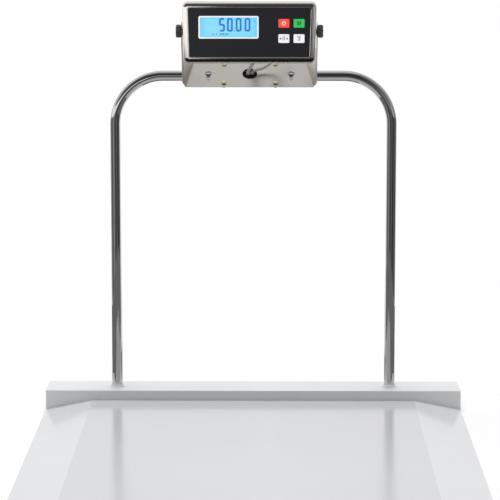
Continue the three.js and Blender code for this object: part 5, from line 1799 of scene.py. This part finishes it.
@dataclass
class HiddenWorks:
    """The CAD nodes that keep their own shapes: what is under the deck, in the beam and in the housing.

    Attributes:
        finishes: the finish of each group of nodes, by the start of their names.
    """

    finishes: Mapping[str, Finish] = field(
        default_factory=lambda: {
            "deck_rib": DIPPED_STEEL, "load_cell_bolt": BOLT_ZINC, "load_cell_cable": JACKET_BLACK,
            "load_cell": CELL_STEEL, "foot_stem": BOLT_ZINC, "foot_pad": FOOT_RUBBER,
            "beam_bottom_cover": DIPPED_STEEL, "post_socket": DIPPED_STEEL, "junction_board": CIRCUIT,
            "junction_box": BOX_PLASTIC, "rail_cable": JACKET_BLACK, "lcd_module": DISPLAY_LIGHT,
            "main_board": CIRCUIT, "battery": BATTERY_CASE,
        }
    )

    def build(self) -> list[bpy.types.Object]:
        """Dresses each node that no piece replaces."""
        made = []
        for name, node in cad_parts.items():
            group = next((start for start in self.finishes if name.startswith(start)), None)
            if group is None or node.hide_render:
                continue
            node.data.materials.clear()
            node.data.materials.append(self.finishes[group].material)
            made.append(node)
        return made


# The studio


@dataclass
class Studio:
    """The camera, floor, lights and what bright metal reflects.

    Attributes:
        eye: the camera's place.
        down: how far it looks down, in degrees.
        left: how far it is turned to the left, in degrees.
        lens: its focal length in millimetres.
        ambient: the light that comes from all round.
        sun: the light from the lamp.
        sun_tilt: how far the lamp leans to the front, in degrees; below 0 it leans to the back.
        drum_radius: the reflected wall's radius.
        drum_height: its height.
        drum_split: how high its middle stripes start.
        drum_top: how high its upper stripes start.
        drum_y: its middle's place along Y.
    """

    eye: Point = (0.052, -6.823, 1.639)
    down: float = 8.69
    left: float = 0.48
    lens: float = 172.8
    ambient: float = 0.32
    sun: float = 0.68
    sun_tilt: float = -8.0
    drum_radius: float = 2.6
    drum_height: float = 6.5
    drum_split: float = 0.92
    drum_top: float = 1.4
    drum_y: float = 0.117

    def camera(self) -> None:
        """Sets the camera where the photograph was taken."""
        data = bpy.data.cameras.new("camera")
        data.lens = self.lens
        data.sensor_width = 36.0
        data.clip_end = 200.0
        camera = bpy.data.objects.new("camera", data)
        camera.location = self.eye
        camera.rotation_euler = (math.radians(90 - self.down), 0.0, math.radians(self.left))
        bpy.context.scene.collection.objects.link(camera)
        bpy.context.scene.camera = camera

    def build(self) -> None:
        """Sets the world, the floor, the lamp and the reflected room."""
        bpy.context.scene.view_settings.view_transform = "Standard"
        self.world()
        self.floor()
        self.lamp()
        self.drum()
        self.reflected_floor()
        self.reflected_boards()

    @staticmethod
    def seen(shader: Shader) -> Value:
        """1 for rays from the camera, and for those that metal and glass send on."""
        rays = shader.node("LightPath").outputs
        camera, glossy, through = (
            Value(shader, rays[f"Is {name} Ray"]) for name in ("Camera", "Glossy", "Transmission")
        )
        return camera.at_least(glossy).at_least(through)

    def world(self) -> None:
        """White where it is seen, and a soft light on the rest."""
        world = bpy.data.worlds.new("studio")
        bpy.context.scene.world = world
        shader = Shader(world)
        strength = self.ambient + (1 - self.ambient) * self.seen(shader)
        light = shader.node("Background", None, {"Color": (1, 1, 1), "Strength": strength})
        shader.output(light.outputs[0], "OutputWorld")

    def floor(self) -> None:
        """A pale floor that shows as white and keeps the scale's shadow."""
        shape = Shape()
        bmesh.ops.create_grid(shape.bm, x_segments=1, y_segments=1, size=90.0)
        shader = Shader.material("studio_floor")
        matt = shader.node("BsdfDiffuse", None, {"Color": (0.95, 0.95, 0.95)})
        glow = shader.node("Emission", None, {"Color": (1, 1, 1), "Strength": 1.06})
        parts = {0: 0.5 * self.seen(shader), 1: matt.outputs[0], 2: glow.outputs[0]}
        mixed = shader.node("MixShader", None, parts)
        shader.output(mixed.outputs[0])
        self.set_up(shape, "floor", shader.owner)

    def lamp(self) -> None:
        """A broad soft lamp above, a little behind the scale."""
        data = bpy.data.lights.new("softbox", "SUN")
        data.energy = math.pi * self.sun
        data.angle = math.radians(55)
        lamp = bpy.data.objects.new("softbox", data)
        lamp.rotation_euler = (math.radians(self.sun_tilt), math.radians(-4), 0)
        lamp.visible_glossy = False
        bpy.context.scene.collection.objects.link(lamp)

    @staticmethod
    def set_up(shape: Shape, name: str, material: bpy.types.Material, reflected: bool = False) -> None:
        """Puts a part of the studio in place.

        Args:
            shape: its shape.
            name: its name.
            material: its material.
            reflected: whether it shows only in reflections.
        """
        mesh = bpy.data.meshes.new(name)
        shape.bm.to_mesh(mesh)
        mesh.materials.append(material)
        made = bpy.data.objects.new(name, mesh)
        bpy.context.scene.collection.objects.link(made)
        if reflected:
            made.visible_camera = made.visible_diffuse = made.visible_shadow = False
            made.visible_transmission = made.visible_volume_scatter = False

    @staticmethod
    def glow(name: str, level: float) -> bpy.types.Material:
        """An evenly lit material of that level."""
        shader = Shader.material(name)
        shader.output(shader.node("Emission", None, {"Color": (1, 1, 1), "Strength": level}).outputs[0])
        return shader.owner

    @staticmethod
    def stripes(
        shader: Shader, angle: Value, levels: Sequence[tuple[float, float]]
    ) -> bpy.types.NodeSocket:
        """The wall's brightness by direction.

        Args:
            shader: the wall's tree.
            angle: the direction from the front, from 0 to 1 with the front at 0.5.
            levels: pairs of a direction in degrees and a level.

        Returns:
            The colour's socket.
        """
        stops = [(0.5 + degrees / 360, (level,) * 3) for degrees, level in levels]
        return shader.node("ValToRGB", {"stops": stops}, {0: angle}).outputs["Color"]

    def drum(self) -> None:
        """The room's wall, which only reflections see, with stripes of its own at each height."""
        shape = Shape()
        size = {"radius1": self.drum_radius, "radius2": self.drum_radius, "depth": self.drum_height}
        centre = Matrix.Translation((0, self.drum_y, self.drum_height / 2))
        bmesh.ops.create_cone(shape.bm, cap_ends=False, segments=96, matrix=centre, **size)
        shader = Shader.material("studio_wall")
        x, y, z = shader.axes(shader.local(Place((0, self.drum_y, 0))))
        angle = shader.math("ARCTAN2", x, 0 - y) / math.tau + 0.5
        low = self.stripes(
            shader, angle,
            (
                (-180, 1.0), (-150, 0.85), (-112, 0.3), (-100, 0.1), (-80, 0.16), (-60, 0.34), (-44, 0.3),
                (-30, 0.1), (-5, 0.08), (12, 0.1), (24, 0.18), (36, 0.1), (48, 0.03), (66, 0.06),
                (84, 0.2), (98, 0.04), (112, 0.1), (150, 0.85), (180, 1.0),
            ),
        )
        middle = self.stripes(
            shader, angle,
            (
                (-180, 0.9), (-125, 0.9), (-112, 1.2), (-6.4, 1.2), (-5.3, 0.06), (12, 0.06),
                (20, 0.15), (30, 0.45), (45, 0.12), (60, 0.35), (80, 0.7), (100, 0.1), (130, 0.7), (180, 0.9),
            ),
        )
        high = self.stripes(
            shader, angle,
            ((-180, 0.9), (-110, 0.9), (-70, 0.1), (-20, 0.05), (30, 0.05), (75, 0.3), (180, 0.9)),
        )
        wall = shader.mix(z.between(self.drum_split, self.drum_split + 0.1), low, middle)
        wall = shader.mix(z.between(self.drum_top, self.drum_top + 0.15), wall, high)
        shader.output(shader.node("Emission", None, {"Color": wall, "Strength": 1.0}).outputs[0])
        self.set_up(shape, "reflected_wall", shader.owner, reflected=True)

    def reflected_floor(self) -> None:
        """A darker floor that only reflections see."""
        shape = Shape()
        bmesh.ops.create_circle(shape.bm, cap_ends=True, segments=64, radius=self.drum_radius)
        shape.shift(z=0.002)
        glow = self.glow("studio_reflected_floor", 0.2)
        self.set_up(shape, "reflected_floor", glow, reflected=True)

    def reflected_boards(self) -> None:
        """Three boards that only reflections see.

        The white card stands edge-on behind the rail and lights the posts' inner sides. The black flag
        keeps the indicator's lower rim dark. The grey canopy closes the front half of the room.
        """
        boards = (
            ("card", (0.001, 0.4, 0.85), (0.046, 0.977, 0.5), 1.3),
            ("flag", (0.7, 0.8, 0.004), (0, 0.06, 1.062), 0.01),
            ("canopy", (5.2, 3.4, 0.004), (0, -0.8, self.drum_height), 0.45),
        )
        for name, size, middle, level in boards:
            glow = self.glow(f"studio_{name}", level)
            self.set_up(Shape.block(size, middle), f"reflected_{name}", glow, reflected=True)


def main() -> None:
    """Builds the camera, the leads and then every sub-assembly."""
    logging.basicConfig(level=logging.INFO, format="%(message)s")
    studio = Studio()
    studio.camera()
    parts = (
        SIGNAL_LEAD, POWER_LEAD, Deck(), Beam(), Handrail(), Bracket(), Housing(), Face(), HiddenWorks(),
    )
    for part in parts:
        for made in part.build():
            log.info("%s: %s", type(part).__name__, made.name)
    studio.build()


if __name__ == "__main__":
    main()
